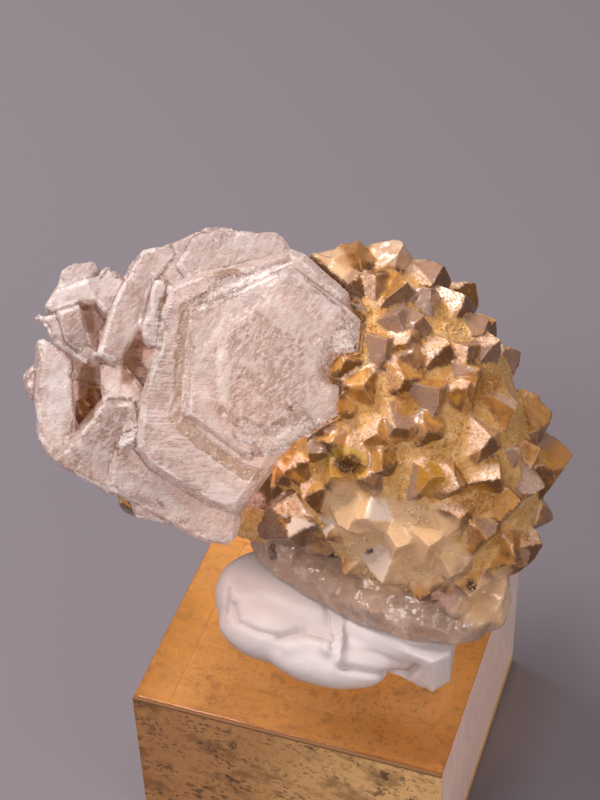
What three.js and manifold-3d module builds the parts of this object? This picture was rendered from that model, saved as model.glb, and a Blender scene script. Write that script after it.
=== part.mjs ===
// Calcite with quartz: a mineral specimen pressed into white putty on a clear display block.
// Millimetres, +Z up. The origin is the middle of the underside, and -Y is the front of the block.
import * as THREE from "three";
import { mergeVertices } from "three/addons/utils/BufferGeometryUtils.js";
import Module from "manifold-3d";

const wasm = await Module();
wasm.setup();

// Driving dimensions
const GAP = 0.3; // between two pieces that touch
const SMALLEST_DETAIL = 0.1; // corners nearer than this to a flat face are smoothed away
const BLOCK_SIDE = 40;
const BLOCK_TOP = 24;
const BACKING_THICKNESS = 1.2;
const FRONT_SHEET = 0.5; // the backing where it goes up the front of the block
const PUTTY_TOP = BLOCK_TOP + 6.7;
const BED = PUTTY_TOP + GAP; // the level where the stone is broken off flat and beds in the putty

// The specimen shows one face. The face has its own frame: X to its right, Y up it and Z out of it.
const FACE_CENTRE = new THREE.Vector3(-7.5, 10.75, BLOCK_TOP + 26.9);
const FACE_AZIMUTH = THREE.MathUtils.degToRad(20);
const FACE_ELEVATION = THREE.MathUtils.degToRad(42.2);
const FACE_ROLL = THREE.MathUtils.degToRad(-2);
const VIEW_DISTANCE = 236; // outlines on the face are given as they look from this far in front of it

// Quartz: a dome of crystals, a low lobe that runs behind the calcite and a neck between them. Each is an
// ellipsoid in the face's frame, turned about the frame's Z.
const DOME = {
  centre: new THREE.Vector3(12, -3, 0),
  radii: new THREE.Vector3(24.0, 15.0, 13.6),
  turn: THREE.MathUtils.degToRad(-65),
};
const LOBE = { centre: new THREE.Vector3(-15, -1, -5.5), radii: new THREE.Vector3(14, 13.5, 6.5), turn: 0 };
const NECK = { centre: new THREE.Vector3(-3.5, -9, -3.5), radii: new THREE.Vector3(9.5, 9, 7), turn: 0 };
const QUARTZ_SLOPE = THREE.MathUtils.degToRad(38.2); // between a pyramid face and the crystal's long axis
// How far pyramid faces miss the tip, in radii: the most for a large face and the mean for a small one
const LARGE_FACE_SETBACK = 0.1;
const SMALL_FACE_SETBACK = 0.27;
const TIP_RISE = 2.7; // how far the tips that show on the face stand out of the dome
const SIDE_TIP_RISE = 2.2; // the same for the rest of the dome's tips
const DOME_CREST = 18.6; // how high on the face the rest of its tips reach
const WOBBLE = 0.42; // how far a crystal's axis strays from the way the skin under it faces

// Calcite: tablets whose edges slope
const TABLET_BEVEL = 0.45;

// Colours
const QUARTZ_COLOUR = 0xa27a45;
const CALCITE_COLOUR = 0xe6d6cf;
const PUTTY_COLOUR = 0xe9e3e1;
const ACRYLIC_COLOUR = 0xdfe3e0;
const BACKING_COLOUR = 0x9a6a35;

const Z_AXIS = new THREE.Vector3(0, 0, 1);

// A repeatable run of numbers from 0 to 1.
function randomFrom(seed) {
  let state = seed;
  return () => {
    state = (state + 0x6d2b79f5) | 0;
    let t = Math.imul(state ^ (state >>> 15), 1 | state);
    t = (t + Math.imul(t ^ (t >>> 7), 61 | t)) ^ t;
    return ((t ^ (t >>> 14)) >>> 0) / 4294967296;
  };
}

// A geometry with shared corners as a solid that can be joined and cut.
function solidOf(indexed) {
  return new wasm.Manifold(
    new wasm.Mesh({
      numProp: 3,
      vertProperties: new Float32Array(indexed.attributes.position.array),
      triVerts: new Uint32Array(indexed.index.array),
    }),
  );
}

// A three.js geometry with only its positions, and each corner once.
function welded(geometry) {
  const bare = geometry.index ? geometry.toNonIndexed() : geometry;
  const positions = new THREE.BufferGeometry().setAttribute("position", bare.getAttribute("position"));
  return mergeVertices(positions, 1e-3);
}

// A solid as a three.js geometry, without corners that lie on a straight edge or in a flat face, and without
// chips that a cut left loose.
function geometryOf(solid) {
  const bodies = solid.asOriginal().simplify(SMALLEST_DETAIL).decompose();
  const mesh = bodies.reduce((best, body) => (body.volume() > best.volume() ? body : best)).getMesh();
  return new THREE.BufferGeometry()
    .setAttribute("position", new THREE.BufferAttribute(new Float32Array(mesh.vertProperties), 3))
    .setIndex(new THREE.BufferAttribute(new Uint32Array(mesh.triVerts), 1));
}

// The convex body inside a set of planes, each {normal, reach}, where reach is its distance from the origin.
function bodyInside(planes) {
  const FAR = 100;
  const SAME_CORNER = 1e-4;
  const corners = [];
  const triangles = [];
  const cornerAt = (point) => {
    const known = corners.findIndex((corner) => corner.distanceTo(point) < SAME_CORNER);
    return known >= 0 ? known : corners.push(point) - 1;
  };
  planes.forEach((plane, own) => {
    const helper = Math.abs(plane.normal.z) < 0.8 ? new THREE.Vector3(0, 0, 1) : new THREE.Vector3(1, 0, 0);
    const side = helper.cross(plane.normal).normalize();
    const up = plane.normal.clone().cross(side);
    const middle = plane.normal.clone().multiplyScalar(plane.reach);
    let polygon = [[-FAR, -FAR], [FAR, -FAR], [FAR, FAR], [-FAR, FAR]].map(([a, b]) =>
      middle.clone().addScaledVector(side, a).addScaledVector(up, b),
    );
    planes.forEach((cutter, other) => {
      if (other === own) return;
      const kept = [];
      polygon.forEach((point, i) => {
        const next = polygon[(i + 1) % polygon.length];
        const here = cutter.normal.dot(point) - cutter.reach;
        const there = cutter.normal.dot(next) - cutter.reach;
        if (here <= 0) kept.push(point);
        if (here * there < 0) kept.push(point.clone().lerp(next, here / (here - there)));
      });
      polygon = kept;
    });
    const ring = polygon.map(cornerAt).filter((corner, i, all) => corner !== all[(i + 1) % all.length]);
    for (let i = 1; i + 1 < ring.length; i++) triangles.push(ring[0], ring[i], ring[i + 1]);
  });
  return new THREE.BufferGeometry()
    .setAttribute("position", new THREE.Float32BufferAttribute(corners.flatMap((c) => c.toArray()), 3))
    .setIndex(triangles);
}

// How far a pyramid face misses the tip, in radii. Large and small faces take turns.
function pyramidSetBack(side, random) {
  if (side === 0) return 0;
  return side % 2 === 0 ? LARGE_FACE_SETBACK * random() : SMALL_FACE_SETBACK * (0.5 + random());
}

// A quartz crystal with its tip at the origin and its long axis along Z: a six-sided prism under three large
// pyramid faces, the first of them the largest, and three small ones that are set back from the tip.
function quartzCrystal(radius, length, random) {
  const planes = [{ normal: new THREE.Vector3(0, 0, -1), reach: length }];
  for (let side = 0; side < 6; side++) {
    const angle = (side * Math.PI) / 3;
    const out = new THREE.Vector3(Math.cos(angle), Math.sin(angle), 0);
    planes.push({ normal: out, reach: radius * (0.88 + 0.24 * random()) });
    const slant = out.clone().multiplyScalar(Math.cos(QUARTZ_SLOPE));
    slant.z = Math.sin(QUARTZ_SLOPE);
    planes.push({ normal: slant, reach: radius * pyramidSetBack(side, random) });
  }
  return bodyInside(planes);
}

// Where a point of the face really is, w out from it, when it is seen at (x, y) from VIEW_DISTANCE.
function facePoint(x, y, w) {
  const nearer = 1 - w / VIEW_DISTANCE;
  return new THREE.Vector3(x * nearer, y * nearer, w);
}

// The way that an ellipsoid's skin faces at a point.
function skinNormal(point, { centre, radii, turn }) {
  const own = point.clone().sub(centre).applyAxisAngle(Z_AXIS, -turn);
  return own.divide(radii).divide(radii).applyAxisAngle(Z_AXIS, turn).normalize();
}

// Where the tip of a crystal seen at (x, y) stands on the near side of an ellipsoid swollen by `rise`.
function tipOn({ centre, radii, turn }, x, y, rise) {
  const reach = radii.clone().addScalar(rise);
  let w = reach.z / 2;
  for (let round = 0; round < 6; round++) {
    const own = facePoint(x, y, w).sub(centre).applyAxisAngle(Z_AXIS, -turn);
    const off = (own.x / reach.x) ** 2 + (own.y / reach.y) ** 2;
    w = centre.z + reach.z * Math.sqrt(Math.max(0, 1 - off));
  }
  return facePoint(x, y, w);
}

// A crystal set with its tip at a point and its axis along a direction. One of its large pyramid faces looks
// towards `facing`, an angle round the face's frame.
function crystalAt(tip, axis, radius, length, facing, random) {
  const ahead = new THREE.Vector3(Math.cos(facing), Math.sin(facing), 0);
  ahead.addScaledVector(axis, -ahead.dot(axis)).normalize();
  const place = new THREE.Matrix4().makeBasis(ahead, axis.clone().cross(ahead), axis).setPosition(tip);
  return solidOf(quartzCrystal(radius, length, random).applyMatrix4(place));
}

// A lumpy ellipsoid.
function lump({ centre, radii, turn }, detail, roughness, seed) {
  const random = randomFrom(seed);
  const geometry = welded(new THREE.IcosahedronGeometry(1, detail));
  const at = geometry.attributes.position;
  for (let i = 0; i < at.count; i++) {
    const swell = 1 + roughness * (random() - 0.5);
    const point = new THREE.Vector3().fromBufferAttribute(at, i).multiplyScalar(swell);
    point.multiply(radii).applyAxisAngle(Z_AXIS, turn).add(centre);
    at.setXYZ(i, point.x, point.y, point.z);
  }
  return solidOf(geometry);
}

// The crystals that show on the face: where the tip is seen, x and y, the crystal's radius and, for most that
// stand out, the angle that a large pyramid face looks towards.
const SHOWING = [
  [9.6, 15.4, 3.2, -30], [13.6, 14.4, 3.9, -90], [16.5, 13.9, 2.4, -30], [15.4, 10.4, 2.2, -90],
  [20.5, 13.0, 3.4, -160], [13.1, 7.1, 2.0, 120], [14.1, 6.0, 1.8, -110], [10.7, 7.6, 3.0, -150],
  [5.6, 4.8, 2.8, -60], [21.0, 6.3, 4.6, -148], [25.0, 7.1, 3.6, -110], [27.5, 6.0, 2.8],
  [24.6, 9.8, 2.6], [22.4, 3.6, 3.4, -150], [17.2, 1.0, 3.8, -144], [11.8, -3.6, 4.0, -70],
  [26.8, -1.2, 4.2, -163], [31.5, -1.8, 3.4, -120], [30.1, 0.4, 1.6], [23.5, -4.7, 4.2, 183],
  [34.1, -7.0, 4.2, -140], [25.1, -9.9, 4.3, -110], [16.5, -9.8, 4.2, -60], [20.9, 1.5, 2.6],
  [30.1, -17.9, 4.2, 137], [31.6, -14.8, 2.4, 150], [30.6, -10.9, 3.2], [27.5, -12.8, 2.8],
  [19.0, -22.0, 2.6, 67], [21.4, -24.4, 2.8, 90], [27.1, -20.4, 3.2, 30], [28.4, -20.6, 1.8],
  [26.8, -27.0, 4.0, 100], [-1.4, -17.6, 4.0, 70], [6.0, -16.2, 3.4, 20], [0.4, -12.3, 3.2, 80],
  [8.5, -14.6, 3.8, 20], [10.2, -23.0, 5.0, 30], [16.2, -18.4, 4.0, -40], [-5.0, -17.0, 3.4, 10],
  [-3.5, -11.2, 2.6], [-2.0, -9.5, 2.4], [5.8, -7.2, 3.8, 150], [10.1, -8.8, 2.0], [16.0, -4.1, 2.2],
  [1.8, 18.4, 2.2], [6.0, 18.8, 2.8, -90], [13.2, 19.6, 3.4, -70], [18.0, 16.8, 3.0, -80],
  [22.0, 14.6, 2.6], [23.6, 10.4, 2.4], [6.2, 14.4, 2.6], [4.4, 11.6, 2.6], [7.9, 1.5, 3.0, -120],
  [13.0, 2.6, 2.8], [15.0, -25.0, 3.2], [19.4, -26.6, 2.8], [23.4, -28.6, 2.8], [9.6, -4.2, 2.2],
  [8.1, -10.0, 2.6], [3.8, -9.6, 2.6], [20.2, -15.0, 3.0], [18.8, 6.9, 2.4], [11.9, 10.6, 2.6],
  [30.0, -6.0, 2.8], [19.8, -11.2, 2.6], [12.0, -18.6, 2.8], [23.2, -17.6, 3.2],
  [2.2, -3.0, 2.4, 130], [4.8, -1.4, 2.2, 160], [1.0, -6.6, 2.4], [3.6, -5.4, 2.0, 120],
];

// The broken stone under the dome, which shows end-on above the putty. These are in the part's frame.
const BROKEN_BASE = [
  { centre: [-7, 5, BED], radii: [5.5, 6, 6.5] },
  { centre: [-1, 3.5, BED], radii: [7, 7, 6.5] },
  { centre: [6.5, 2, BED], radii: [7.5, 7.5, 6.5] },
  { centre: [13, 1, BED], radii: [6.5, 7.3, 6] },
  { centre: [18.5, 1.5, BED], radii: [4.2, 5.8, 5] },
];

// An outline on the face drawn back into a tablet. `edge` is the slope on its rims and `grow` swells it.
function tablet({ outline, w, thickness, lean = [0, 0], edge = TABLET_BEVEL }, grow = 0) {
  const nearer = 1 - w / VIEW_DISTANCE;
  const points = outline.map(([x, y]) => new THREE.Vector2(x * nearer, y * nearer));
  const middle = points.reduce((sum, p) => sum.add(p), new THREE.Vector2()).divideScalar(points.length);
  const shape = new THREE.Shape(points.map((p) => p.clone().sub(middle)));
  const depth = thickness - 2 * edge;
  const body = new THREE.ExtrudeGeometry(shape, {
    depth: depth + 2 * grow,
    bevelEnabled: true,
    bevelThickness: edge,
    bevelSize: edge,
    bevelOffset: grow - edge,
    bevelSegments: 1,
    steps: 1,
  });
  body.translate(0, 0, edge - thickness - grow);
  const turn = new THREE.Quaternion().setFromEuler(
    new THREE.Euler(THREE.MathUtils.degToRad(lean[0]), THREE.MathUtils.degToRad(lean[1]), 0),
  );
  const place = new THREE.Matrix4().makeRotationFromQuaternion(turn).setPosition(middle.x, middle.y, w);
  return solidOf(welded(body).applyMatrix4(place));
}

// A six-sided outline, a little uneven, as calcite tablets have.
function hexagon(x, y, radius, twist) {
  const uneven = [1, 0.92, 1.06, 0.98, 0.9, 1.04];
  return uneven.map((share, side) => {
    const angle = THREE.MathUtils.degToRad(60 * side + twist);
    return [x + radius * share * Math.cos(angle), y + radius * share * Math.sin(angle)];
  });
}

const CALCITE = {
  innerStep: {
    outline: [
      [-8.6, 10.4], [-4.6, 12.9], [-1.0, 12.5], [2.5, 7.0], [2.0, -0.5], [-2.8, -4.2], [-6.9, -4.2],
      [-10.8, -0.8], [-11.4, 5.9],
    ],
    w: 14.2, thickness: 2, lean: [0, -3], edge: 0.3,
  },
  terrace: {
    outline: [
      [-13.8, 11.4], [-8.5, 13.8], [-1.2, 16.8], [3.8, 13.2], [6.0, 11.5], [7.6, 10.0], [7.2, 6.0],
      [4.0, 5.6], [2.8, 3.6], [2.9, 2.2], [4.9, 1.8], [4.8, -1.9], [2.6, -3.1], [-2.4, -6.4],
      [-5.8, -7.0], [-6.5, -7.6], [-14.4, -2.0],
    ],
    w: 13.8, thickness: 3.4, lean: [0, -3], edge: 0.6,
  },
  shelf: {
    outline: [
      [-16.8, 14.5], [-12.5, 16.2], [-7.5, 17.2], [-1.1, 18.9], [0.6, 18.2], [3.2, 16.0], [6.1, 13.4],
      [6.4, 10.2], [3.0, 1.0], [-1.6, -5.4], [-4.6, -9.6], [-6.9, -12.9], [-8.0, -14.5],
      [-11.9, -13.1], [-16.5, -10.2],
      [-19.2, -8.5], [-20.9, -6.2], [-20.7, -4.1], [-20.4, -0.5], [-19.9, 2.2], [-18.9, 5.0], [-18.2, 6.6],
      [-17.8, 10.2],
    ],
    w: 11, thickness: 6, lean: [-2, -6], edge: 0.9,
  },
  upperBack: {
    outline: [
      [-15.4, 16.8], [-13.0, 20.9], [-10.8, 21.4], [-3.0, 21.1], [-2.0, 20.4], [-0.8, 18.5], [1.0, 13.0],
      [-4.0, 10.0], [-12.5, 13.0],
    ],
    w: 8.4, thickness: 5, lean: [-6, 4],
  },
  upperFacet: {
    outline: [
      [-18.8, 17.2], [-16.9, 19.1], [-13.0, 20.9], [-10.8, 21.4], [-11.9, 19.2], [-13.2, 15.0], [-16.2, 14.0],
    ],
    w: 7.4, thickness: 5, lean: [6, -10], edge: 0.3,
  },
  lower: {
    outline: [
      [-24.1, -8.8], [-22.8, -5.0], [-20.8, -4.0], [-17.5, -7.0], [-12.5, -10.0], [-7.5, -12.5],
      [-7.6, -16.0],
      [-8.2, -17.6], [-9.4, -18.4], [-11.9, -18.0], [-16.9, -15.6], [-21.6, -13.0], [-24.2, -11.6],
    ],
    w: 8.6, thickness: 6.4, lean: [10, -4], edge: 0.6,
  },
  longBlade: {
    outline: [
      [-14.0, 20.0], [-15.9, 19.8], [-19.8, 18.9], [-20.9, 16.8], [-22.4, 14.2], [-23.5, 11.6],
      [-25.3, 5.4], [-22.4, 4.5], [-19.8, 9.2], [-18.8, 12.5], [-18.1, 15.0], [-16.2, 17.2], [-14.8, 18.5],
    ],
    w: 8, thickness: 8, lean: [-4, 8], edge: 0.4,
  },
  slip: {
    outline: [
      [-18.2, 15.0], [-17.0, 15.1], [-16.4, 13.8], [-17.0, 6.9], [-18.8, 6.5], [-19.6, 7.2], [-19.8, 9.0],
    ],
    w: 9, thickness: 7, lean: [2, 6], edge: 0.25,
  },
  leftBlade: {
    outline: [
      [-32.6, 7.4], [-33.0, -0.5], [-32.6, -4.9], [-30.9, -7.5], [-29.8, -6.0], [-28.1, -4.1], [-28.0, -3.0],
      [-28.4, 5.0], [-31.9, 7.8],
    ],
    w: 5.4, thickness: 7, lean: [2, 10], edge: 0.35,
  },
  leftBumps: {
    outline: [
      [-34.3, 3.2], [-33.5, 4.2], [-32.2, 4.8], [-31.0, 2.0], [-31.0, -2.2], [-33.0, 0.0], [-33.8, 0.6],
    ],
    w: 1.5, thickness: 5, lean: [0, 12], edge: 0.3,
  },
  middle: {
    outline: [
      [-25.3, 5.8], [-22.6, 5.2], [-21.2, 3.6], [-19.6, 1.4], [-19.4, -1.2], [-22.5, -3.0], [-24.5, -0.6],
      [-25.2, 2.1],
    ],
    w: 4.2, thickness: 6, lean: [-8, -6], edge: 0.4,
  },
  fan: {
    outline: [
      [-27.9, -4.6], [-24.5, -0.2], [-20.6, -0.2], [-19.6, -5.0], [-21.2, -9.4], [-22.6, -12.4],
      [-24.2, -11.8], [-25.5, -11.1], [-28.1, -9.6], [-30.9, -7.6],
    ],
    w: 6.2, thickness: 7, lean: [8, 6], edge: 0.4,
  },
  spur: {
    outline: [
      [-33.5, 10.8], [-32.0, 10.5], [-30.2, 11.1], [-28.1, 10.2], [-27.0, 8.1], [-25.2, 5.5], [-26.5, 4.2],
      [-29.2, 6.0], [-31.0, 7.2], [-31.9, 9.0],
    ],
    w: 6.6, thickness: 3.4, lean: [-6, -8], edge: 0.35,
  },
  spurBlade: {
    outline: [
      [-30.2, 11.1], [-27.4, 12.1], [-26.5, 8.8], [-25.4, 5.5], [-27.2, 5.2], [-29.2, 7.5],
    ],
    w: 7.4, thickness: 7, lean: [4, 12], edge: 0.35,
  },
  topLeft: {
    outline: [
      [-30.0, 16.4], [-28.5, 17.5], [-25.9, 17.6], [-25.0, 16.4], [-26.5, 14.6], [-29.2, 13.4], [-30.5, 14.0],
    ],
    w: 4, thickness: 7, lean: [-14, -4], edge: 0.35,
  },
  arch: {
    outline: [
      [-30.8, 14.2], [-31.9, 11.6], [-30.2, 10.7], [-27.4, 12.1], [-25.4, 12.1], [-24.5, 11.0], [-22.6, 11.4],
      [-21.8, 14.2], [-24.5, 15.6], [-26.8, 15.4], [-29.2, 14.3],
    ],
    w: 5.6, thickness: 8, lean: [-6, 6], edge: 0.35,
  },
  smallTop: {
    outline: [
      [-25.0, 16.0], [-24.2, 16.8], [-22.9, 16.5], [-21.2, 14.8], [-22.4, 12.8], [-25.0, 14.0],
    ],
    w: 5, thickness: 6, lean: [-10, 8], edge: 0.3,
  },
  behindLow: {
    outline: [
      [-21.6, -12.0], [-20.8, -14.9], [-17.4, -15.8], [-14.0, -15.0], [-14.0, -10.0], [-19.0, -9.0],
    ],
    w: 1.5, thickness: 7, lean: [16, 4], edge: 0.4,
  },
  backUpper: { outline: hexagon(-14, 9, 9.5, 12), w: 4.5, thickness: 4.5, lean: [4, -12] },
  backCross: { outline: hexagon(-17, 4, 8.5, 25), w: 0.5, thickness: 3.4, lean: [22, 24] },
  backLower: { outline: hexagon(-18, -6, 8, 5), w: 1.5, thickness: 4, lean: [-20, -14] },
  backLeft: { outline: hexagon(-24, 7, 6.5, 40), w: -1, thickness: 3, lean: [10, 38] },
  backRim: { outline: hexagon(-22, 0, 8, 18), w: -4.5, thickness: 3.2, lean: [-8, 20] },
  backTop: { outline: hexagon(-11, 11, 8, 0), w: -2.5, thickness: 3.4, lean: [-26, -6] },
};

// Where the face's frame stands in the part's frame.
const faceMatrix = new THREE.Matrix4()
  .makeTranslation(FACE_CENTRE)
  .multiply(new THREE.Matrix4().makeRotationZ(FACE_AZIMUTH))
  .multiply(new THREE.Matrix4().makeRotationX(Math.PI / 2 - FACE_ELEVATION))
  .multiply(new THREE.Matrix4().makeRotationZ(FACE_ROLL));

// A box under a level of the part's frame, in the face's frame, for cutting the stone off flat.
function everythingBelow(level) {
  const size = 200;
  const box = new THREE.BoxGeometry(size, size, size).translate(0, 0, level - size / 2);
  return solidOf(welded(box).applyMatrix4(faceMatrix.clone().invert()));
}

// Crystals spread over an ellipsoid where none of the named ones stand.
function scatteredCrystals({ skin, count, seed, allowed, taken, rise, size }) {
  const random = randomFrom(seed);
  const golden = Math.PI * (3 - Math.sqrt(5));
  const made = [];
  for (let i = 0; i < count; i++) {
    const height = 1 - (2 * (i + 0.5)) / count;
    const ring = Math.sqrt(1 - height * height);
    const round = golden * i + 0.5 * random();
    const out = new THREE.Vector3(Math.cos(round) * ring, Math.sin(round) * ring, height);
    const radius = size * (0.75 + 0.55 * random());
    const wobble = new THREE.Vector3(random() - 0.5, random() - 0.5, random() - 0.5).multiplyScalar(WOBBLE);
    const facing = 2 * Math.PI * random();
    const foot = out.multiply(skin.radii).applyAxisAngle(Z_AXIS, skin.turn).add(skin.centre);
    const axis = skinNormal(foot, skin);
    const tip = foot.clone().addScaledVector(axis, rise * (0.75 + 0.5 * random()));
    if (!allowed(tip) || taken.some((other) => other.distanceTo(tip) < radius * 1.15)) continue;
    made.push(crystalAt(tip, axis.add(wobble).normalize(), radius, rise + 4, facing, random));
  }
  return made;
}

function makeQuartz(calciteRoom) {
  const random = randomFrom(11);
  const tips = [];
  const crystals = SHOWING.map(([x, y, radius, facing]) => {
    const tip = tipOn(DOME, x, y, TIP_RISE);
    const wobble = new THREE.Vector3(random() - 0.5, random() - 0.5, random() - 0.5).multiplyScalar(WOBBLE);
    const axis = skinNormal(tip, DOME).add(wobble).normalize();
    const towards = THREE.MathUtils.degToRad(facing ?? 360 * random());
    tips.push(tip);
    return crystalAt(tip, axis, radius, TIP_RISE + 5, towards, random);
  });
  const levelOf = (point) => point.clone().applyMatrix4(faceMatrix).z;
  const domeCrystals = scatteredCrystals({
    skin: DOME, count: 86, seed: 5, taken: tips, rise: SIDE_TIP_RISE, size: 3.5,
    allowed: (tip) => levelOf(tip) > BED + 3 && !(tip.z > 2 && tip.x < 0) && tip.y < DOME_CREST,
  });
  const lobeCrystals = scatteredCrystals({
    skin: LOBE, count: 34, seed: 9, taken: [], rise: 2.2, size: 2.4,
    allowed: (tip) => levelOf(tip) > BED + 2 && tip.x < -4,
  });
  const neckCrystals = scatteredCrystals({
    skin: NECK, count: 26, seed: 13, taken: tips, rise: 2, size: 2.2,
    allowed: (tip) => levelOf(tip) > BED + 2 && tip.x < 0 && tip.y < -6,
  });
  const base = BROKEN_BASE.map(({ centre, radii }, i) =>
    lump(upright(centre, radii), 2, 0.14, 30 + i).transform(faceMatrix.clone().invert().elements),
  );
  const bodies = [lump(DOME, 2, 0.05, 3), lump(LOBE, 2, 0.08, 4), lump(NECK, 1, 0.1, 6), ...base];
  return wasm.Manifold.union([...bodies, ...crystals, ...domeCrystals, ...lobeCrystals, ...neckCrystals])
    .subtract(everythingBelow(BED))
    .subtract(calciteRoom);
}

// An ellipsoid that isn't turned.
function upright(centre, radii) {
  return { centre: new THREE.Vector3(...centre), radii: new THREE.Vector3(...radii), turn: 0 };
}

function makeCalcite(grow) {
  return wasm.Manifold.union(Object.values(CALCITE).map((form) => tablet(form, grow)));
}

// The putty: a rolled lower lip, a slab on it that the stone is pressed into, and a fold across the slab.
const PUTTY_LUMPS = [
  { centre: [-10.4, -1.5, 3.2], radii: [4.9, 6.0, 4.6] },
  { centre: [-6.0, -6.2, 2.6], radii: [7.4, 4.6, 3.8] },
  { centre: [1.6, -7.9, 2.3], radii: [8.6, 4.6, 3.3] },
  { centre: [-1.0, 1.0, 3.6], radii: [12.6, 7.6, 5.2] },
  { centre: [8.0, -2.6, 3.6], radii: [8.8, 5.4, 4.6] },
  { centre: [2.6, -6.0, 4.2], radii: [1.3, 4.8, 3.6] },
];
const PUTTY_SLAB = [[6.0, -6.4], [15.6, -8.2], [17.2, -6.0], [16.2, 1.4], [8.0, 4.0]];

function makePutty() {
  const lumps = PUTTY_LUMPS.map(({ centre, radii }, i) => lump(upright(centre, radii), 3, 0.02, 20 + i));
  const outline = new THREE.Shape(PUTTY_SLAB.map(([x, y]) => new THREE.Vector2(x, y)));
  const slab = welded(new THREE.ExtrudeGeometry(outline, { depth: 6, bevelEnabled: false }));
  const top = new THREE.BoxGeometry(80, 80, 20).translate(0, 0, PUTTY_TOP - BLOCK_TOP + 10);
  const under = new THREE.BoxGeometry(80, 80, 20).translate(0, 0, GAP - 10);
  return wasm.Manifold.union([...lumps, solidOf(slab)])
    .subtract(solidOf(welded(top)))
    .subtract(solidOf(welded(under)));
}

function piece(name, geometry, look) {
  const mesh = new THREE.Mesh(geometry, new THREE.MeshStandardMaterial(look));
  mesh.name = name;
  return mesh;
}

// The backing, bent from under the block up its front: its section, with X as Y of the part and Y as Z.
function makeBacking() {
  const half = BLOCK_SIDE / 2;
  const section = [
    [-half, 0], [half, 0], [half, BACKING_THICKNESS], [FRONT_SHEET - half, BACKING_THICKNESS],
    [FRONT_SHEET - half, BLOCK_TOP], [-half, BLOCK_TOP],
  ];
  const shape = new THREE.Shape(section.map(([y, z]) => new THREE.Vector2(y, z)));
  const bar = new THREE.ExtrudeGeometry(shape, { depth: BLOCK_SIDE, bevelEnabled: false });
  const [right, back] = [new THREE.Vector3(1, 0, 0), new THREE.Vector3(0, 1, 0)];
  const across = new THREE.Matrix4().makeBasis(back, Z_AXIS, right);
  return welded(bar.translate(0, 0, -half).applyMatrix4(across));
}

const blockBottom = BACKING_THICKNESS + GAP;
const blockHeight = BLOCK_TOP - blockBottom;
const blockDepth = BLOCK_SIDE - FRONT_SHEET - GAP;

const backing = piece(
  "brown_backing",
  makeBacking(),
  { color: BACKING_COLOUR, roughness: 0.8, metalness: 0 },
);

const block = piece(
  "acrylic_block",
  new THREE.BoxGeometry(BLOCK_SIDE, blockDepth, blockHeight),
  { color: ACRYLIC_COLOUR, roughness: 0.05, metalness: 0, transparent: true, opacity: 0.35 },
);
block.position.set(0, (BLOCK_SIDE - blockDepth) / 2, blockBottom + blockHeight / 2);

const putty = piece(
  "mounting_putty",
  geometryOf(makePutty()),
  { color: PUTTY_COLOUR, roughness: 0.6, metalness: 0 },
);
putty.position.z = BLOCK_TOP;

const calcite = piece(
  "calcite_crystals",
  geometryOf(makeCalcite(0)),
  { color: CALCITE_COLOUR, roughness: 0.25, metalness: 0 },
);
const quartz = piece(
  "quartz_crystals",
  geometryOf(makeQuartz(makeCalcite(GAP))),
  { color: QUARTZ_COLOUR, roughness: 0.35, metalness: 0 },
);

const face = new THREE.Group();
face.add(calcite, quartz);
face.applyMatrix4(faceMatrix);

const specimen = new THREE.Group();
specimen.add(backing, block, putty, face);

export default specimen;
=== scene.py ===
"""Calcite blades grown on a cluster of smoky quartz, pressed with putty onto a clear display block.

The frame's solids give each piece its place and its size. This script gives each of them its fine
surface: the crystals' facets, films and growth lines, the putty's folds, and the clear block with the
brown backing under it. Lengths are in millimetres up to the moment when a mesh is written, which is in
metres.
"""

import itertools
import logging
import math
from collections.abc import Sequence
from dataclasses import dataclass, field
from enum import Enum

import bmesh
import bpy
import numpy as np
from mathutils import Matrix, Vector
from mathutils.bvhtree import BVHTree
from mathutils.kdtree import KDTree


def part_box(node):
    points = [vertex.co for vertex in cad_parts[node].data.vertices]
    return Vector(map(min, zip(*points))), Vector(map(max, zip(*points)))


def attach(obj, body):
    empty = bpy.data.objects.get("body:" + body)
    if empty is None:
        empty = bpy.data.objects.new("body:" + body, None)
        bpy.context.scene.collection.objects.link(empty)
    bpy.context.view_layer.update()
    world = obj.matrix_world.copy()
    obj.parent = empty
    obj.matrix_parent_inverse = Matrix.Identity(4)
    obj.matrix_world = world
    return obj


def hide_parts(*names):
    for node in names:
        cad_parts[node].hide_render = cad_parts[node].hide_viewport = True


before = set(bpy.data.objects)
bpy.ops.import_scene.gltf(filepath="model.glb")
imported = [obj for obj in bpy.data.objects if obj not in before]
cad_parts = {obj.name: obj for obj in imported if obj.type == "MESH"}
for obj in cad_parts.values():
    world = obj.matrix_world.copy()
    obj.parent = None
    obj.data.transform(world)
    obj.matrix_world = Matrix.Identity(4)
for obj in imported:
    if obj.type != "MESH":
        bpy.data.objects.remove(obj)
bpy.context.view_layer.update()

BODY = "root"
MM = 0.001
WELD = 2e-6
NEVER = 99.0
TINY = 1e-15
HASH_STEPS = (73856093, 19349663, 83492791)
HASH_SEED_STEP = 668265263
HASH_ROUNDS = ((13, 1274126177), (15, 461845907))
HASH_TOP = 0x7FFFFFFF
SEED_SHIFT = 37.3

Colour = tuple[float, float, float]
Point2 = tuple[float, float]
Point3 = tuple[float, float, float]
Socket = bpy.types.NodeSocket
Node = bpy.types.Node
Material = bpy.types.Material
Piece = bpy.types.Object

log = logging.getLogger("specimen")


class Slot(Enum):
    """The record's material slots."""

    QUARTZ = "quartz"
    CALCITE = "calcite"
    PUTTY = "putty"
    ACRYLIC = "acrylic"
    BACKING = "backing"


class Grain(Enum):
    """The shapes of the small crystals that are sprinkled on a surface."""

    RHOMB = "rhomb"
    POINT = "point"


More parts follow.
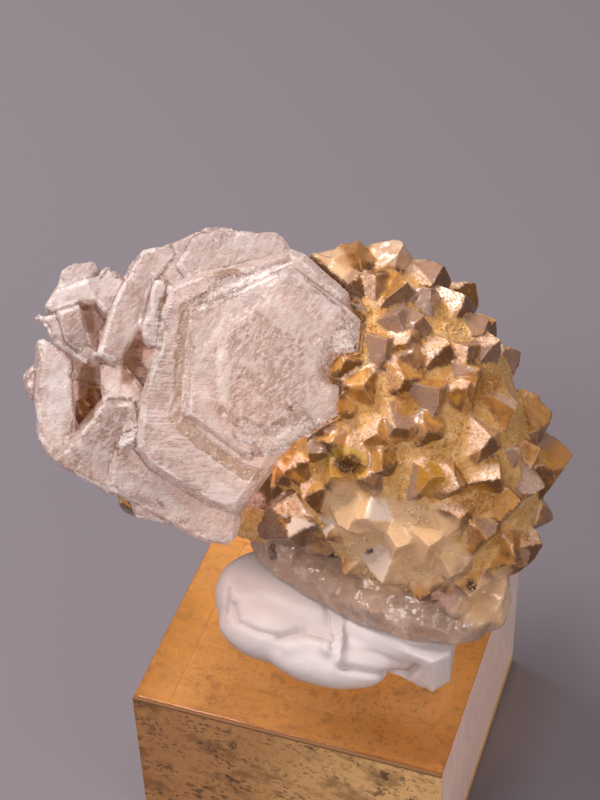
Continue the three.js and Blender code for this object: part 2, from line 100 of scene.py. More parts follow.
@dataclass(frozen=True)
class ShowFace:
    """The specimen's show face: x runs to its right, y up it and z out of it, all in millimetres.

    A mark's place on it is given as it looks from `distance` in front of it.
    """

    centre: Point3 = (-7.47, 10.75, 50.89)
    azimuth: float = 19.96
    elevation: float = 42.165
    roll: float = -2.03
    distance: float = 236.0

    def axes(self) -> np.ndarray:
        """Returns the face's x, y and z directions as the rows of a matrix.

        Returns:
            A matrix of three rows.
        """
        turn = math.radians(self.azimuth)
        rise = math.radians(self.elevation)
        lean = math.radians(self.roll)
        back = np.array([math.sin(turn) * math.cos(rise), -math.cos(turn) * math.cos(rise), math.sin(rise)])
        level = np.array([math.cos(turn), math.sin(turn), 0.0])
        upright = np.cross(back, level)
        right = math.cos(lean) * level + math.sin(lean) * upright
        return np.array([right, np.cross(back, right), back])

    def local(self, points: np.ndarray) -> np.ndarray:
        """Returns points of the part as points of the face."""
        return (points - np.array(self.centre)) @ self.axes().T

    def seen(self, points: np.ndarray) -> np.ndarray:
        """Returns where points of the part look to be on the face."""
        own = self.local(points)
        return own[:, :2] / (1 - own[:, 2:] / self.distance)

    def camera_matrix(self) -> Matrix:
        """Returns the place of a camera that looks straight at the face from its distance.

        Returns:
            The camera's matrix, in metres.
        """
        right, up, back = self.axes()
        spot = (np.array(self.centre) + back * self.distance) * MM
        rows = [[right[i], up[i], back[i], spot[i]] for i in range(3)]
        return Matrix([*rows, [0, 0, 0, 1]])


FACE = ShowFace()


@dataclass(frozen=True)
class Patch:
    """An oval on the show face, with its middle and its two radii in millimetres and its turn in degrees."""

    middle: Point2
    radii: Point2
    turn: float = 0.0

    def depth(self, seen: np.ndarray) -> np.ndarray:
        """Returns how deep points lie in the oval: 1 in its middle, 0 on its edge and less outside."""
        return 1 - np.hypot(*self.shares(seen))

    def six_sided_depth(self, seen: np.ndarray) -> np.ndarray:
        """Returns how deep points lie in the six-sided shape round the oval, as `depth` does for the oval.

        Args:
            seen: points of the face as they look.

        Returns:
            One depth a point.
        """
        along, across = self.shares(seen)
        ways = [math.radians(60 * i) for i in range(3)]
        return 1 - np.max([np.abs(along * math.cos(way) + across * math.sin(way)) for way in ways], axis=0)

    def shares(self, seen: np.ndarray) -> tuple[np.ndarray, np.ndarray]:
        """Measures how far points are from the middle, as shares of the two radii.

        Args:
            seen: points of the face as they look.

        Returns:
            The shares of the first and of the second radius.
        """
        angle = math.radians(self.turn)
        x, y = (seen - np.array(self.middle)).T
        along = (x * math.cos(angle) + y * math.sin(angle)) / self.radii[0]
        across = (-x * math.sin(angle) + y * math.cos(angle)) / self.radii[1]
        return along, across


def deepest(patches: Sequence[Patch], seen: np.ndarray) -> np.ndarray:
    """Returns how deep points lie in the nearest of some ovals."""
    return np.max([patch.depth(seen) for patch in patches], axis=0)


@dataclass(frozen=True)
class Mound:
    """An ellipsoid that crystals stand on, in the show face's frame, turned about z by some degrees."""

    centre: Point3
    radii: Point3
    turn: float = 0.0

    def clearance(self, own: np.ndarray, rise: np.ndarray) -> tuple[np.ndarray, np.ndarray]:
        """Measures how far points stand out of the mound.

        Args:
            own: points in the face's frame, in millimetres.
            rise: how much the mound is swollen at each.

        Returns:
            How far each point is outside, less than 0 inside, and the way out of the mound there.
        """
        angle = math.radians(self.turn)
        cosine, sine = math.cos(angle), math.sin(angle)
        spin = np.array([[cosine, sine, 0], [-sine, cosine, 0], [0, 0, 1]])
        offset = (own - np.array(self.centre)) @ spin.T
        reach = np.array(self.radii) + rise[:, None]
        share = np.linalg.norm(offset / reach, axis=1)
        slope = offset / reach**2
        height = (share - 1) * share / np.maximum(np.linalg.norm(slope, axis=1), TINY)
        return height, unit(slope) @ spin


@dataclass(frozen=True)
class Stroke:
    """A line drawn on the show face, such as a crease, with its half width and how far it stands out."""

    points: tuple[Point2, ...]
    width: float = 0.4
    rise: float = -0.3

    def distance(self, seen: np.ndarray) -> np.ndarray:
        """Returns how far points are from the line, in millimetres.

        Args:
            seen: points of the face as they look.

        Returns:
            One distance a point.
        """
        nearest = np.full(len(seen), NEVER)
        for start, end in itertools.pairwise(np.array(self.points)):
            run = end - start
            share = np.clip((seen - start) @ run / (run @ run), 0, 1)
            nearest = np.minimum(nearest, np.linalg.norm(seen - start - share[:, None] * run, axis=1))
        return nearest

    def relief(self, seen: np.ndarray) -> np.ndarray:
        """Returns how far the line lifts or sinks the surface at points, in millimetres."""
        return self.rise * np.exp(-((self.distance(seen) / self.width) ** 2))


def lattice_noise(points: np.ndarray, size: float, seed: int) -> np.ndarray:
    """Returns smooth noise between -1 and 1.

    Args:
        points: where it is read, in millimetres.
        size: how far apart its lumps are.
        seed: which noise it is.

    Returns:
        One value a point.
    """
    grid = points / size + SEED_SHIFT * seed
    base = np.floor(grid).astype(np.int64)
    part = grid - base
    part = part * part * (3 - 2 * part)
    total = np.zeros(len(points))
    for corner in itertools.product((0, 1), repeat=3):
        key = (base + corner) @ np.array(HASH_STEPS) + seed * HASH_SEED_STEP
        for shift, factor in HASH_ROUNDS:
            key = (key ^ (key >> shift)) * factor & HASH_TOP
        share = np.prod(np.where(corner, part, 1 - part), axis=1)
        total += share * (key / (HASH_TOP // 2) - 1)
    return total


def fractal_noise(points: np.ndarray, size: float, seed: int, octaves: int = 3) -> np.ndarray:
    """Returns noise with finer noise on it."""
    return sum(lattice_noise(points, size / 2**i, seed + i) / 2**i for i in range(octaves))


@dataclass(frozen=True)
class Lumps:
    """Smooth unevenness with its own size, in millimetres, and its own seed."""

    size: float
    seed: int
    octaves: int = 3

    def at(self, points: np.ndarray) -> np.ndarray:
        """Returns how uneven points are, mostly between -1 and 1."""
        return fractal_noise(points, self.size, self.seed, self.octaves)


def ramp(values: np.ndarray, low: float, high: float) -> np.ndarray:
    """Returns values eased from 0 at `low` to 1 at `high`."""
    share = np.clip((values - low) / (high - low), 0, 1)
    return share * share * (3 - 2 * share)


def unit(vectors: np.ndarray) -> np.ndarray:
    """Returns vectors made one long."""
    return vectors / np.maximum(np.linalg.norm(vectors, axis=-1, keepdims=True), TINY)


def new_piece(name: str, mesh: bpy.types.Mesh) -> Piece:
    """Returns a new object in the scene for a mesh.

    Args:
        name: the piece's name.
        mesh: its mesh, in metres.

    Returns:
        The object.
    """
    mesh.name = name
    piece = bpy.data.objects.new(name, mesh)
    bpy.context.scene.collection.objects.link(piece)
    return piece


def merged_copy(node: str) -> bpy.types.Mesh:
    """Returns a copy of a frame node's mesh with its loose triangles joined.

    Args:
        node: the node's name.

    Returns:
        The mesh, in metres.
    """
    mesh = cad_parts[node].data.copy()
    mesh.materials.clear()
    solid = bmesh.new()
    solid.from_mesh(mesh)
    bmesh.ops.remove_doubles(solid, verts=solid.verts, dist=WELD)
    solid.to_mesh(mesh)
    solid.free()
    return mesh


def bake_modifiers(piece: Piece) -> None:
    """Turns what a piece's modifiers make into its own plain mesh.

    Args:
        piece: the object, whose modifiers are taken off.
    """
    graph = bpy.context.evaluated_depsgraph_get()
    mesh = bpy.data.meshes.new_from_object(piece.evaluated_get(graph))
    piece.modifiers.clear()
    mesh.name = piece.name
    piece.data = mesh


class Creases:
    """How far a point is from the nearest sharp edges of a faceted solid that stand out or that lie in."""

    SPACING = 0.12
    LEAST_ANGLE = math.radians(9)

    def __init__(self, mesh: bpy.types.Mesh) -> None:
        """Samples the sharp edges of a solid.

        Args:
            mesh: the faceted solid, in metres.
        """
        solid = bmesh.new()
        solid.from_mesh(mesh)
        found: dict[bool, list[np.ndarray]] = {True: [], False: []}
        for edge in solid.edges:
            if len(edge.link_faces) != 2:
                continue
            angle = edge.calc_face_angle_signed()
            if abs(angle) < self.LEAST_ANGLE:
                continue
            start, end = (np.array(corner.co) / MM for corner in edge.verts)
            steps = max(2, int(np.linalg.norm(end - start) / self.SPACING) + 1)
            found[angle > 0].append(start + np.linspace(0, 1, steps)[:, None] * (end - start))
        solid.free()
        self.ridges = self.tree(np.concatenate(found[True]))
        self.valleys = self.tree(np.concatenate(found[False]))

    @staticmethod
    def tree(points: np.ndarray) -> KDTree:
        """Returns a search tree of points.

        Args:
            points: the points, in millimetres.

        Returns:
            The tree.
        """
        made = KDTree(len(points))
        for i, point in enumerate(points):
            made.insert(point, i)
        made.balance()
        return made

    @staticmethod
    def distance(tree: KDTree, points: np.ndarray) -> np.ndarray:
        """Returns how far points are from the nearest point of a tree."""
        return np.array([tree.find(point)[2] for point in points])


class Facets:
    """The flat faces of a faceted solid, and which of them each point of a finer mesh is on."""

    FLAT = math.radians(1.5)

    def __init__(self, mesh: bpy.types.Mesh) -> None:
        """Groups the triangles of a solid into flat faces.

        Args:
            mesh: the faceted solid, in metres.
        """
        solid = bmesh.new()
        solid.from_mesh(mesh)
        solid.faces.ensure_lookup_table()
        self.group = np.full(len(solid.faces), -1)
        middles, normals = [], []
        for face in solid.faces:
            if self.group[face.index] >= 0:
                continue
            members = self.flood(face, len(middles))
            share = np.array([member.calc_area() for member in members])
            centres = np.array([member.calc_center_median() for member in members]) / MM
            middles.append(share @ centres / max(share.sum(), TINY))
            normals.append(np.array(face.normal))
        self.middles, self.normals = np.array(middles), np.array(normals)
        self.search = BVHTree.FromBMesh(solid)
        solid.free()

    def flood(self, first: bmesh.types.BMFace, number: int) -> list[bmesh.types.BMFace]:
        """Gathers the triangles that lie flat with one.

        Args:
            first: the triangle that the face is grown from.
            number: the face's number.

        Returns:
            The triangles of the face.
        """
        members, open_ones = [], [first]
        self.group[first.index] = number
        while open_ones:
            face = open_ones.pop()
            members.append(face)
            for edge in face.edges:
                for other in edge.link_faces:
                    if self.group[other.index] < 0 and first.normal.angle(other.normal, 1) < self.FLAT:
                        self.group[other.index] = number
                        open_ones.append(other)
        return members

    def of(self, points: np.ndarray) -> np.ndarray:
        """Returns the number of the flat face that each point is nearest to."""
        return self.group[[self.search.find_nearest(Vector(point) * MM)[2] for point in points]]


class Skin:
    """A fine mesh as arrays, so that it can be smoothed, pushed and given values point by point."""

    def __init__(self, piece: Piece) -> None:
        """Reads a piece's mesh.

        Args:
            piece: the object whose mesh is read and later written.
        """
        self.mesh = piece.data
        count = len(self.mesh.vertices)
        flat = np.empty(count * 3, np.float32)
        self.mesh.vertices.foreach_get("co", flat)
        self.points = flat.reshape(-1, 3).astype(float) / MM
        self.box = self.points.min(axis=0), self.points.max(axis=0)
        ends = np.empty(len(self.mesh.edges) * 2, np.int32)
        self.mesh.edges.foreach_get("vertices", ends)
        self.edges = ends.reshape(-1, 2)
        self.degree = np.maximum(np.bincount(ends, minlength=count), 1)

    def normals(self) -> np.ndarray:
        """Returns the direction that the surface faces at each point.

        Returns:
            One direction a point.
        """
        self.write()
        flat = np.empty(len(self.points) * 3, np.float32)
        self.mesh.vertex_normals.foreach_get("vector", flat)
        return flat.reshape(-1, 3).astype(float)

    def spread(self, values: np.ndarray) -> np.ndarray:
        """Returns each point's mean of its neighbours' values.

        Args:
            values: one value or one row of values a point.

        Returns:
            The means, in the shape of the values.
        """
        columns = values.reshape(len(self.points), -1).T
        a, b = self.edges.T
        size = len(self.points)
        sums = [np.bincount(a, column[b], size) + np.bincount(b, column[a], size) for column in columns]
        return (np.array(sums) / self.degree).T.reshape(values.shape)

    def smooth(self, weight: np.ndarray, rounds: int) -> None:
        """Moves points towards the middle of their neighbours."""
        for _ in range(rounds):
            self.points += weight[:, None] * (self.spread(self.points) - self.points)

    def push(self, distance: np.ndarray) -> None:
        """Moves points along the surface's normals."""
        self.points += self.normals() * distance[:, None]

    def facing(self) -> np.ndarray:
        """Returns how much the surface faces the front at each point, from -1 to 1."""
        return self.normals() @ FACE.axes()[2]

    def keep_inside(self) -> None:
        """Stops points at the walls of the box that the mesh filled at first."""
        self.points = np.clip(self.points, *self.box)

    def write(self) -> None:
        """Puts the points back in the mesh."""
        self.mesh.vertices.foreach_set("co", (self.points * MM).astype(np.float32).ravel())
        self.mesh.update()

    def store(self, name: str, *columns: np.ndarray) -> None:
        """Keeps up to four values for each point under one name, for the materials to read.

        Args:
            name: the attribute's name.
            columns: the values, one array each.
        """
        rows = np.zeros((len(self.points), 4), np.float32)
        for i, column in enumerate(columns):
            rows[:, i] = column
        made = self.mesh.attributes.new(name, "FLOAT_COLOR", "POINT")
        made.data.foreach_set("color", rows.ravel())

    def mask(self, name: str, values: np.ndarray) -> None:
        """Keeps one value for each point under a name, for a geometry node tree to read."""
        made = self.mesh.attributes.new(name, "FLOAT", "POINT")
        made.data.foreach_set("value", values.astype(np.float32))

    def finish(self, crisp: float) -> None:
        """Writes the points and shades the mesh smooth but for its sharp edges.

        Args:
            crisp: the least angle of an edge that stays sharp, in degrees.
        """
        self.write()
        self.mesh.polygons.foreach_set("use_smooth", [True] * len(self.mesh.polygons))
        self.mesh.set_sharp_from_angle(angle=math.radians(crisp))


def fine_piece(name: str, mesh: bpy.types.Mesh, depth: int, scale: float) -> Piece:
    """Returns a piece with the shape of a faceted solid, in small even faces that keep its sharp edges.

    Args:
        name: the piece's name.
        mesh: the faceted solid.
        depth: the remesh's depth; one more makes its faces half as wide.
        scale: the share of the remesh's box that the solid fills.

    Returns:
        The piece.
    """
    piece = new_piece(name, mesh.copy())
    remesh = piece.modifiers.new("fine faces", "REMESH")
    remesh.mode = "SHARP"
    remesh.octree_depth = depth
    remesh.scale = scale
    remesh.sharpness = 1
    remesh.use_remove_disconnected = True
    bake_modifiers(piece)
    return piece


class Grown:
    """A grown mineral: the flat faces and edges of its solid, and the fine mesh that is worked on."""

    def __init__(self, name: str, node: str, depth: int, scale: float) -> None:
        """Makes the fine mesh and measures where its points are on the solid.

        Args:
            name: the piece's name.
            node: the frame's node of the solid.
            depth: the remesh's depth.
            scale: the share of the remesh's box that the solid fills.
        """
        solid = merged_copy(node)
        creases, self.facets = Creases(solid), Facets(solid)
        self.piece = fine_piece(name, solid, depth, scale)
        self.skin = Skin(self.piece)
        self.ridge = creases.distance(creases.ridges, self.skin.points)
        self.valley = creases.distance(creases.valleys, self.skin.points)
        self.face = self.facets.of(self.skin.points)


class Graph:
    """A shader or geometry node tree, with short ways to add its nodes and to join them."""

    def __init__(self, tree: bpy.types.NodeTree) -> None:
        """Holds a tree."""
        self.tree = tree

    def feed(self, socket: Socket, value: object) -> None:
        """Gives an input its value, or joins it to another node's output.

        Args:
            socket: the input.
            value: a plain value or an output socket.
        """
        if isinstance(value, Socket):
            self.tree.links.new(value, socket)
        elif socket.type == "RGBA" and len(value) == 3:
            socket.default_value = (*value, 1)
        else:
            socket.default_value = value

    def add(self, kind: str, inputs: dict | None = None, **settings: object) -> Node:
        """Adds a node.

        Args:
            kind: the node's type.
            inputs: values or outputs for its inputs, by name or number.
            settings: values of its own properties.

        Returns:
            The node.
        """
        node = self.tree.nodes.new(kind)
        for name, value in settings.items():
            setattr(node, name, value)
        self.fix(node, inputs or {})
        return node

    def fix(self, node: Node, inputs: dict) -> None:
        """Gives some of a node's inputs, by name or number, a value or another node's output."""
        for key, value in inputs.items():
            self.feed(node.inputs[key], value)

    def scatter(self, surface: Node, weight: float, reaches: Colour, distance: float) -> None:
        """Lets light spread under a surface."""
        depth = {"Subsurface Radius": reaches, "Subsurface Scale": distance * MM}
        self.fix(surface, {"Subsurface Weight": weight, **depth})

    def math(self, operation: str, *values: object, clamp: bool = False) -> Socket:
        """Returns the result of a sum on numbers."""
        inputs = dict(enumerate(values))
        return self.add("ShaderNodeMath", inputs, operation=operation, use_clamp=clamp).outputs[0]

    def mix(self, share: object, first: object, second: object) -> Socket:
        """Returns a colour with a share of a second one mixed in."""
        inputs = {0: share, 6: first, 7: second}
        return self.add("ShaderNodeMix", inputs, data_type="RGBA").outputs[2]

    def mix_normals(self, share: object, first: object, second: object) -> Socket:
        """Returns a normal with a share of a second one mixed in."""
        inputs = {0: share, 4: first, 5: second}
        return self.add("ShaderNodeMix", inputs, data_type="VECTOR").outputs[1]

    def vector(self, operation: str, inputs: dict) -> Node:
        """Adds a sum on vectors and returns its node."""
        return self.add("ShaderNodeVectorMath", inputs, operation=operation)

    def layer(self, below: object, above: object, *masks: object) -> Socket:
        """Lays a colour over another where all of some masks are high.

        Args:
            below: the colour below.
            above: the colour laid over it.
            masks: one or two values from 0 to 1; the colour shows as much as their product.

        Returns:
            The socket of the mixed colour.
        """
        share = masks[0]
        for mask in masks[1:]:
            share = self.math("MULTIPLY", share, mask)
        return self.mix(share, below, above)

    def between(self, value: object, low: float, high: float, least: float = 0, most: float = 1) -> Socket:
        """Returns a value eased from one range to another."""
        inputs = {0: value, 1: low, 2: high, 3: least, 4: most}
        return self.add("ShaderNodeMapRange", inputs, interpolation_type="SMOOTHSTEP").outputs[0]

    def millimetres(self) -> Socket:
        """Returns the place on the object, in millimetres."""
        place = self.add("ShaderNodeTexCoord").outputs["Object"]
        return self.vector("SCALE", {0: place, "Scale": 1 / MM}).outputs[0]

    def face_place(self) -> Socket:
        """Returns the place in the show face's frame, in millimetres.

        Returns:
            The socket of that place.
        """
        turn = Matrix(FACE.axes().T.tolist()).to_euler("XYZ")
        inputs = {"Vector": self.millimetres(), "Location": FACE.centre, "Rotation": tuple(turn)}
        return self.add("ShaderNodeMapping", inputs, vector_type="TEXTURE").outputs[0]

    def stretched(self, place: Socket, scale: Point3, turn: Point3 = (0, 0, 0)) -> Socket:
        """Returns a place turned and scaled, for a pattern that runs one way.

        Args:
            place: the place.
            scale: the scale along each axis.
            turn: the turn about each axis, in degrees.

        Returns:
            The socket of the new place.
        """
        angles = tuple(math.radians(angle) for angle in turn)
        inputs = {"Vector": place, "Rotation": angles, "Scale": scale}
        return self.add("ShaderNodeMapping", inputs, vector_type="TEXTURE").outputs[0]

    def noise(
        self, place: Socket, size: float, detail: float = 3, rough: float = 0.55, swirl: float = 0
    ) -> Socket:
        """Returns noise between 0 and 1."""
        look = {"Detail": detail, "Roughness": rough, "Distortion": swirl}
        return self.add("ShaderNodeTexNoise", {"Vector": place, "Scale": 1 / size, **look}).outputs[0]

    def channels(self, name: str) -> tuple[Socket, ...]:
        """Returns the three values kept in an attribute."""
        colour = self.add("ShaderNodeAttribute", attribute_name=name).outputs["Color"]
        return tuple(self.add("ShaderNodeSeparateColor", {0: colour}).outputs)

    def bump(self, height: object, strength: float, distance: float, normal: object = None) -> Socket:
        """Returns a normal tilted by a height.

        Args:
            height: the height, from 0 to 1.
            strength: how much of it shows.
            distance: how far 1 stands out, in millimetres.
            normal: a normal that is tilted already.

        Returns:
            The socket of the new normal.
        """
        inputs = {"Height": height, "Strength": strength, "Distance": distance * MM}
        if normal is not None:
            inputs["Normal"] = normal
        return self.add("ShaderNodeBump", inputs).outputs[0]

    def group(self, made: bpy.types.NodeTree, inputs: dict) -> Node:
        """Adds a node group and returns its node."""
        return self.add("ShaderNodeGroup", inputs, node_tree=made)


def new_group(name: str, inputs: dict[str, str], outputs: dict[str, str]) -> tuple[Graph, Node, Node]:
    """Makes an empty shader node group.

    Args:
        name: the group's name.
        inputs: its inputs' names and socket types.
        outputs: its outputs' names and socket types.

    Returns:
        The group's graph, its input node and its output node.
    """
    tree = bpy.data.node_groups.new(name, "ShaderNodeTree")
    for way, sockets in (("INPUT", inputs), ("OUTPUT", outputs)):
        for label, kind in sockets.items():
            tree.interface.new_socket(label, in_out=way, socket_type=f"NodeSocket{kind}")
    graph = Graph(tree)
    return graph, graph.add("NodeGroupInput"), graph.add("NodeGroupOutput")


class Effects:
    """The effects that more than one finish uses, each a node group built once."""

    def __init__(self) -> None:
        """Builds the groups."""
        self.glitter = self.make_glitter()
        self.rim = self.make_rim()
        self.specks = self.make_specks()

    @staticmethod
    def make_glitter() -> bpy.types.NodeTree:
        """Returns a group that tilts small patches of a surface each its own way, as etched faces sparkle.

        Returns:
            The group, which puts out the tilted patches' height and how bright a painted sparkle on each may
            be.
        """
        sockets = {"Place": "Vector", "Size": "Float"}
        graph, given, out = new_group("glitter", sockets, {"Height": "Float", "Spark": "Float"})
        scale = graph.math("DIVIDE", 1, given.outputs["Size"])
        cells = graph.add("ShaderNodeTexVoronoi", {"Vector": given.outputs["Place"], "Scale": scale})
        scaled = graph.vector("SCALE", {0: given.outputs["Place"], "Scale": scale})
        offset = graph.vector("SUBTRACT", {0: scaled.outputs[0], 1: cells.outputs["Position"]})
        way = graph.vector("SUBTRACT", {0: cells.outputs["Color"], 1: (0.5, 0.5, 0.5)})
        height = graph.vector("DOT_PRODUCT", {0: offset.outputs[0], 1: way.outputs[0]})
        graph.feed(out.inputs["Height"], height.outputs["Value"])
        red = graph.add("ShaderNodeSeparateColor", {0: cells.outputs["Color"]}).outputs[0]
        graph.feed(out.inputs["Spark"], red)
        return graph.tree

    @staticmethod
    def make_rim() -> bpy.types.NodeTree:
        """Returns a group that says how much of a sharp edge's chipped rim a place is on.

        Returns:
            The group, which puts out that share as a mask.
        """
        sockets = {"Place": "Vector", "Distance": "Float", "Width": "Float", "Chips": "Float"}
        graph, given, out = new_group("chipped rim", sockets, {"Mask": "Float"})
        rough = graph.noise(given.outputs["Place"], 0.55, 4, 0.65)
        shift = graph.math("MULTIPLY", graph.math("SUBTRACT", rough, 0.5), given.outputs["Chips"])
        chipped = graph.math("ADD", given.outputs["Distance"], shift)
        reach = graph.math("DIVIDE", chipped, given.outputs["Width"])
        graph.feed(out.inputs["Mask"], graph.between(reach, 1.0, 0.25))
        return graph.tree

    @staticmethod
    def make_specks() -> bpy.types.NodeTree:
        """Returns a group that puts small irregular specks on a share of a surface.

        Returns:
            The group, which puts out the specks as a mask.
        """
        sockets = {"Place": "Vector", "Size": "Float", "Share": "Float"}
        graph, given, out = new_group("specks", sockets, {"Mask": "Float"})
        scale = graph.math("DIVIDE", 1, given.outputs["Size"])
        wave = {"Vector": given.outputs["Place"], "Scale": scale, "Detail": 4.0, "Roughness": 0.6}
        lumps = graph.add("ShaderNodeTexNoise", wave).outputs[0]
        level = graph.math("SUBTRACT", 0.78, graph.math("MULTIPLY", given.outputs["Share"], 0.38))
        graph.feed(out.inputs["Mask"], graph.between(graph.math("SUBTRACT", lumps, level), -0.01, 0.055))
        return graph.tree


def new_material(name: str) -> tuple[Material, Graph, Node]:
    """Makes a material with one Principled surface.

    Args:
        name: the material's name.

    Returns:
        The material, its graph and its Principled node.
    """
    material = bpy.data.materials.new(name)
    material.use_nodes = True
    return material, Graph(material.node_tree), material.node_tree.nodes["Principled BSDF"]


def make_clear(graph: Graph, surface: Node, tint: Colour, density: float, passing: Colour) -> None:
    """Tints the depth of a clear piece, and lets the lamps' light pass to what is behind it.

    Args:
        graph: the material's graph.
        surface: its Principled node.
        tint: the colour that its depth takes on.
        density: how soon it does, for each metre.
        passing: the share of the lamps' light that passes.
    """
    end = graph.tree.nodes["Material Output"]
    depth = graph.add("ShaderNodeVolumeAbsorption", {"Color": tint, "Density": density})
    graph.feed(end.inputs["Volume"], depth.outputs[0])
    clear = graph.add("ShaderNodeBsdfTransparent", {"Color": passing})
    shadow = graph.add("ShaderNodeLightPath").outputs["Is Shadow Ray"]
    both = graph.add("ShaderNodeMixShader", {0: shadow, 1: surface.outputs[0], 2: clear.outputs[0]})
    graph.feed(end.inputs["Surface"], both.outputs[0])


@dataclass(frozen=True)
class QuartzFinish:
    """Smoky and honey-coloured quartz under an iron film: facets with painted glints and painted shade, ochre
    valleys and pale places.
    """

    amber: Colour = (0.44, 0.195, 0.045)
    honey: Colour = (0.76, 0.41, 0.125)
    orange: Colour = (0.62, 0.30, 0.035)
    # Dark brown, for faces darkened by painted shade and for dark grains.
    dark: Colour = (0.15, 0.062, 0.012)
    mauve: Colour = (0.38, 0.235, 0.17)
    ochre: Colour = (0.80, 0.43, 0.115)
    straw: Colour = (0.90, 0.58, 0.25)
    umber: Colour = (0.40, 0.19, 0.045)
    # The painted glint, on facets that turn to the lamp.
    glint: Colour = (0.96, 0.68, 0.50)
    pale: Colour = (0.84, 0.56, 0.315)
    # Pale clear quartz for white and milky places, and for the painted sheen and highlights on the stone and
    # edges.
    clear: Colour = (0.95, 0.77, 0.65)
    stone: Colour = (0.48, 0.33, 0.25)
    pink: Colour = (0.80, 0.50, 0.42)
    rust: Colour = (0.46, 0.19, 0.015)
    yellow: Colour = (0.62, 0.40, 0.05)
    # Soot in the dark inclusions, and painted shade in a line along the contact with the calcite.
    soot_and_contact_shade: Colour = (0.075, 0.032, 0.014)

    def build(self, effects: Effects) -> Material:
        """Returns the material.

        Args:
            effects: the shared node groups.

        Returns:
            The material.
        """
        material, graph, surface = new_material("smoky quartz")
        place = graph.millimetres()
        # What is kept with the points, and patterns in millimetres.
        tone, mauve, glint = graph.channels("facets")
        ridge, height, pale = graph.channels("creases")
        rust, stone, white = graph.channels("stains")
        pink, yellow, soot_and_contact_shade = graph.channels("spots")
        cloud = graph.noise(place, 2.6, 4)
        patchy = graph.noise(place, 1.2, 4, 0.6)
        fine = graph.noise(place, 0.4, 4, 0.65)
        grains = graph.noise(place, 0.30, 3, 0.7)
        wispy = graph.noise(graph.stretched(place, (1.0, 1.0, 3.2), (35, 20, 0)), 0.5, 3)
        # The faces: tone with painted light and shade, film, painted glints and pale places.
        uneven = graph.math("SUBTRACT", cloud, 0.5)
        shade = graph.math("MULTIPLY_ADD", graph.math("SUBTRACT", patchy, 0.5), 0.9, tone, clamp=True)
        body = graph.mix(graph.between(shade, 0.40, 0.95), self.amber, self.honey)
        body = graph.layer(body, self.orange, graph.between(patchy, 0.5, 0.62, 0.0, 0.55))
        body = graph.layer(body, self.dark, graph.between(shade, 0.50, 0.16))
        film = graph.math("MULTIPLY", mauve, graph.between(wispy, 0.3, 0.55, 0.45, 1))
        body = graph.layer(body, self.mauve, film)
        body = graph.layer(body, self.dark, graph.between(grains, 0.56, 0.66, 0.0, 0.45))
        sparks = graph.group(effects.glitter, {"Place": place, "Size": 0.22})
        lit = graph.math("MULTIPLY", glint, graph.between(sparks.outputs["Spark"], 0.2, 0.6, 0.3, 1))
        body = graph.layer(body, self.glint, lit)
        body = graph.layer(body, self.clear, white)
        # The sediment in the valleys, and stains.
        reach = graph.math("MULTIPLY_ADD", uneven, 1.2, height)
        reach = graph.math("MULTIPLY_ADD", graph.math("SUBTRACT", fine, 0.5), 0.7, reach)
        sediment = graph.between(reach, 0.42, 0.05, 0.0, 0.95)
        crust = graph.mix(graph.between(patchy, 0.44, 0.62), self.ochre, self.straw)
        crust = graph.layer(crust, self.umber, graph.between(grains, 0.52, 0.64, 0.0, 0.7))
        body = graph.layer(body, crust, sediment)
        body = graph.layer(body, self.yellow, yellow, graph.between(fine, 0.3, 0.6, 0.4, 1))
        body = graph.layer(body, self.rust, rust, graph.between(fine, 0.38, 0.6, 0.35, 1))
        # The milky places, and the broken stone with painted sheen and painted shade in patches.
        milky = graph.math("MULTIPLY", pale, graph.between(cloud, 0.3, 0.6, 0.75, 1.0))
        body = graph.layer(body, graph.mix(white, self.pale, self.clear), milky)
        bright = graph.between(cloud, 0.45, 0.75, 0.0, 0.55)
        sheen = graph.math("MULTIPLY", bright, graph.between(wispy, 0.4, 0.65, 0.4, 1))
        shadowed = graph.mix(graph.between(patchy, 0.48, 0.34, 0.0, 0.6), self.stone, self.mauve)
        glassy = graph.mix(sheen, shadowed, self.clear)
        body = graph.layer(body, glassy, stone)
        body = graph.layer(body, self.pink, pink, graph.between(fine, 0.3, 0.6, 0.3, 0.9))
        # Pale edges, worn and partly painted highlight; dirt; soot in inclusions, and painted shade along the
        # calcite.
        # Pale worn edges, partly a painted highlight along the ridges.
        worn = graph.group(effects.rim, {"Place": place, "Distance": ridge, "Width": 0.15, "Chips": 0.5})
        edges = graph.math("MULTIPLY", worn.outputs[0], graph.math("MULTIPLY_ADD", stone, -0.14, 0.14))
        edges = graph.math("MULTIPLY", edges, graph.math("SUBTRACT", 1, sediment))
        body = graph.layer(body, self.clear, edges)
        dirt = graph.group(effects.specks, {"Place": place, "Size": 0.8, "Share": 0.12})
        body = graph.layer(body, self.umber, dirt.outputs[0], 0.5)
        body = graph.layer(body, self.soot_and_contact_shade, soot_and_contact_shade, graph.between(grains, 0.36, 0.50, 0.0, 0.95))
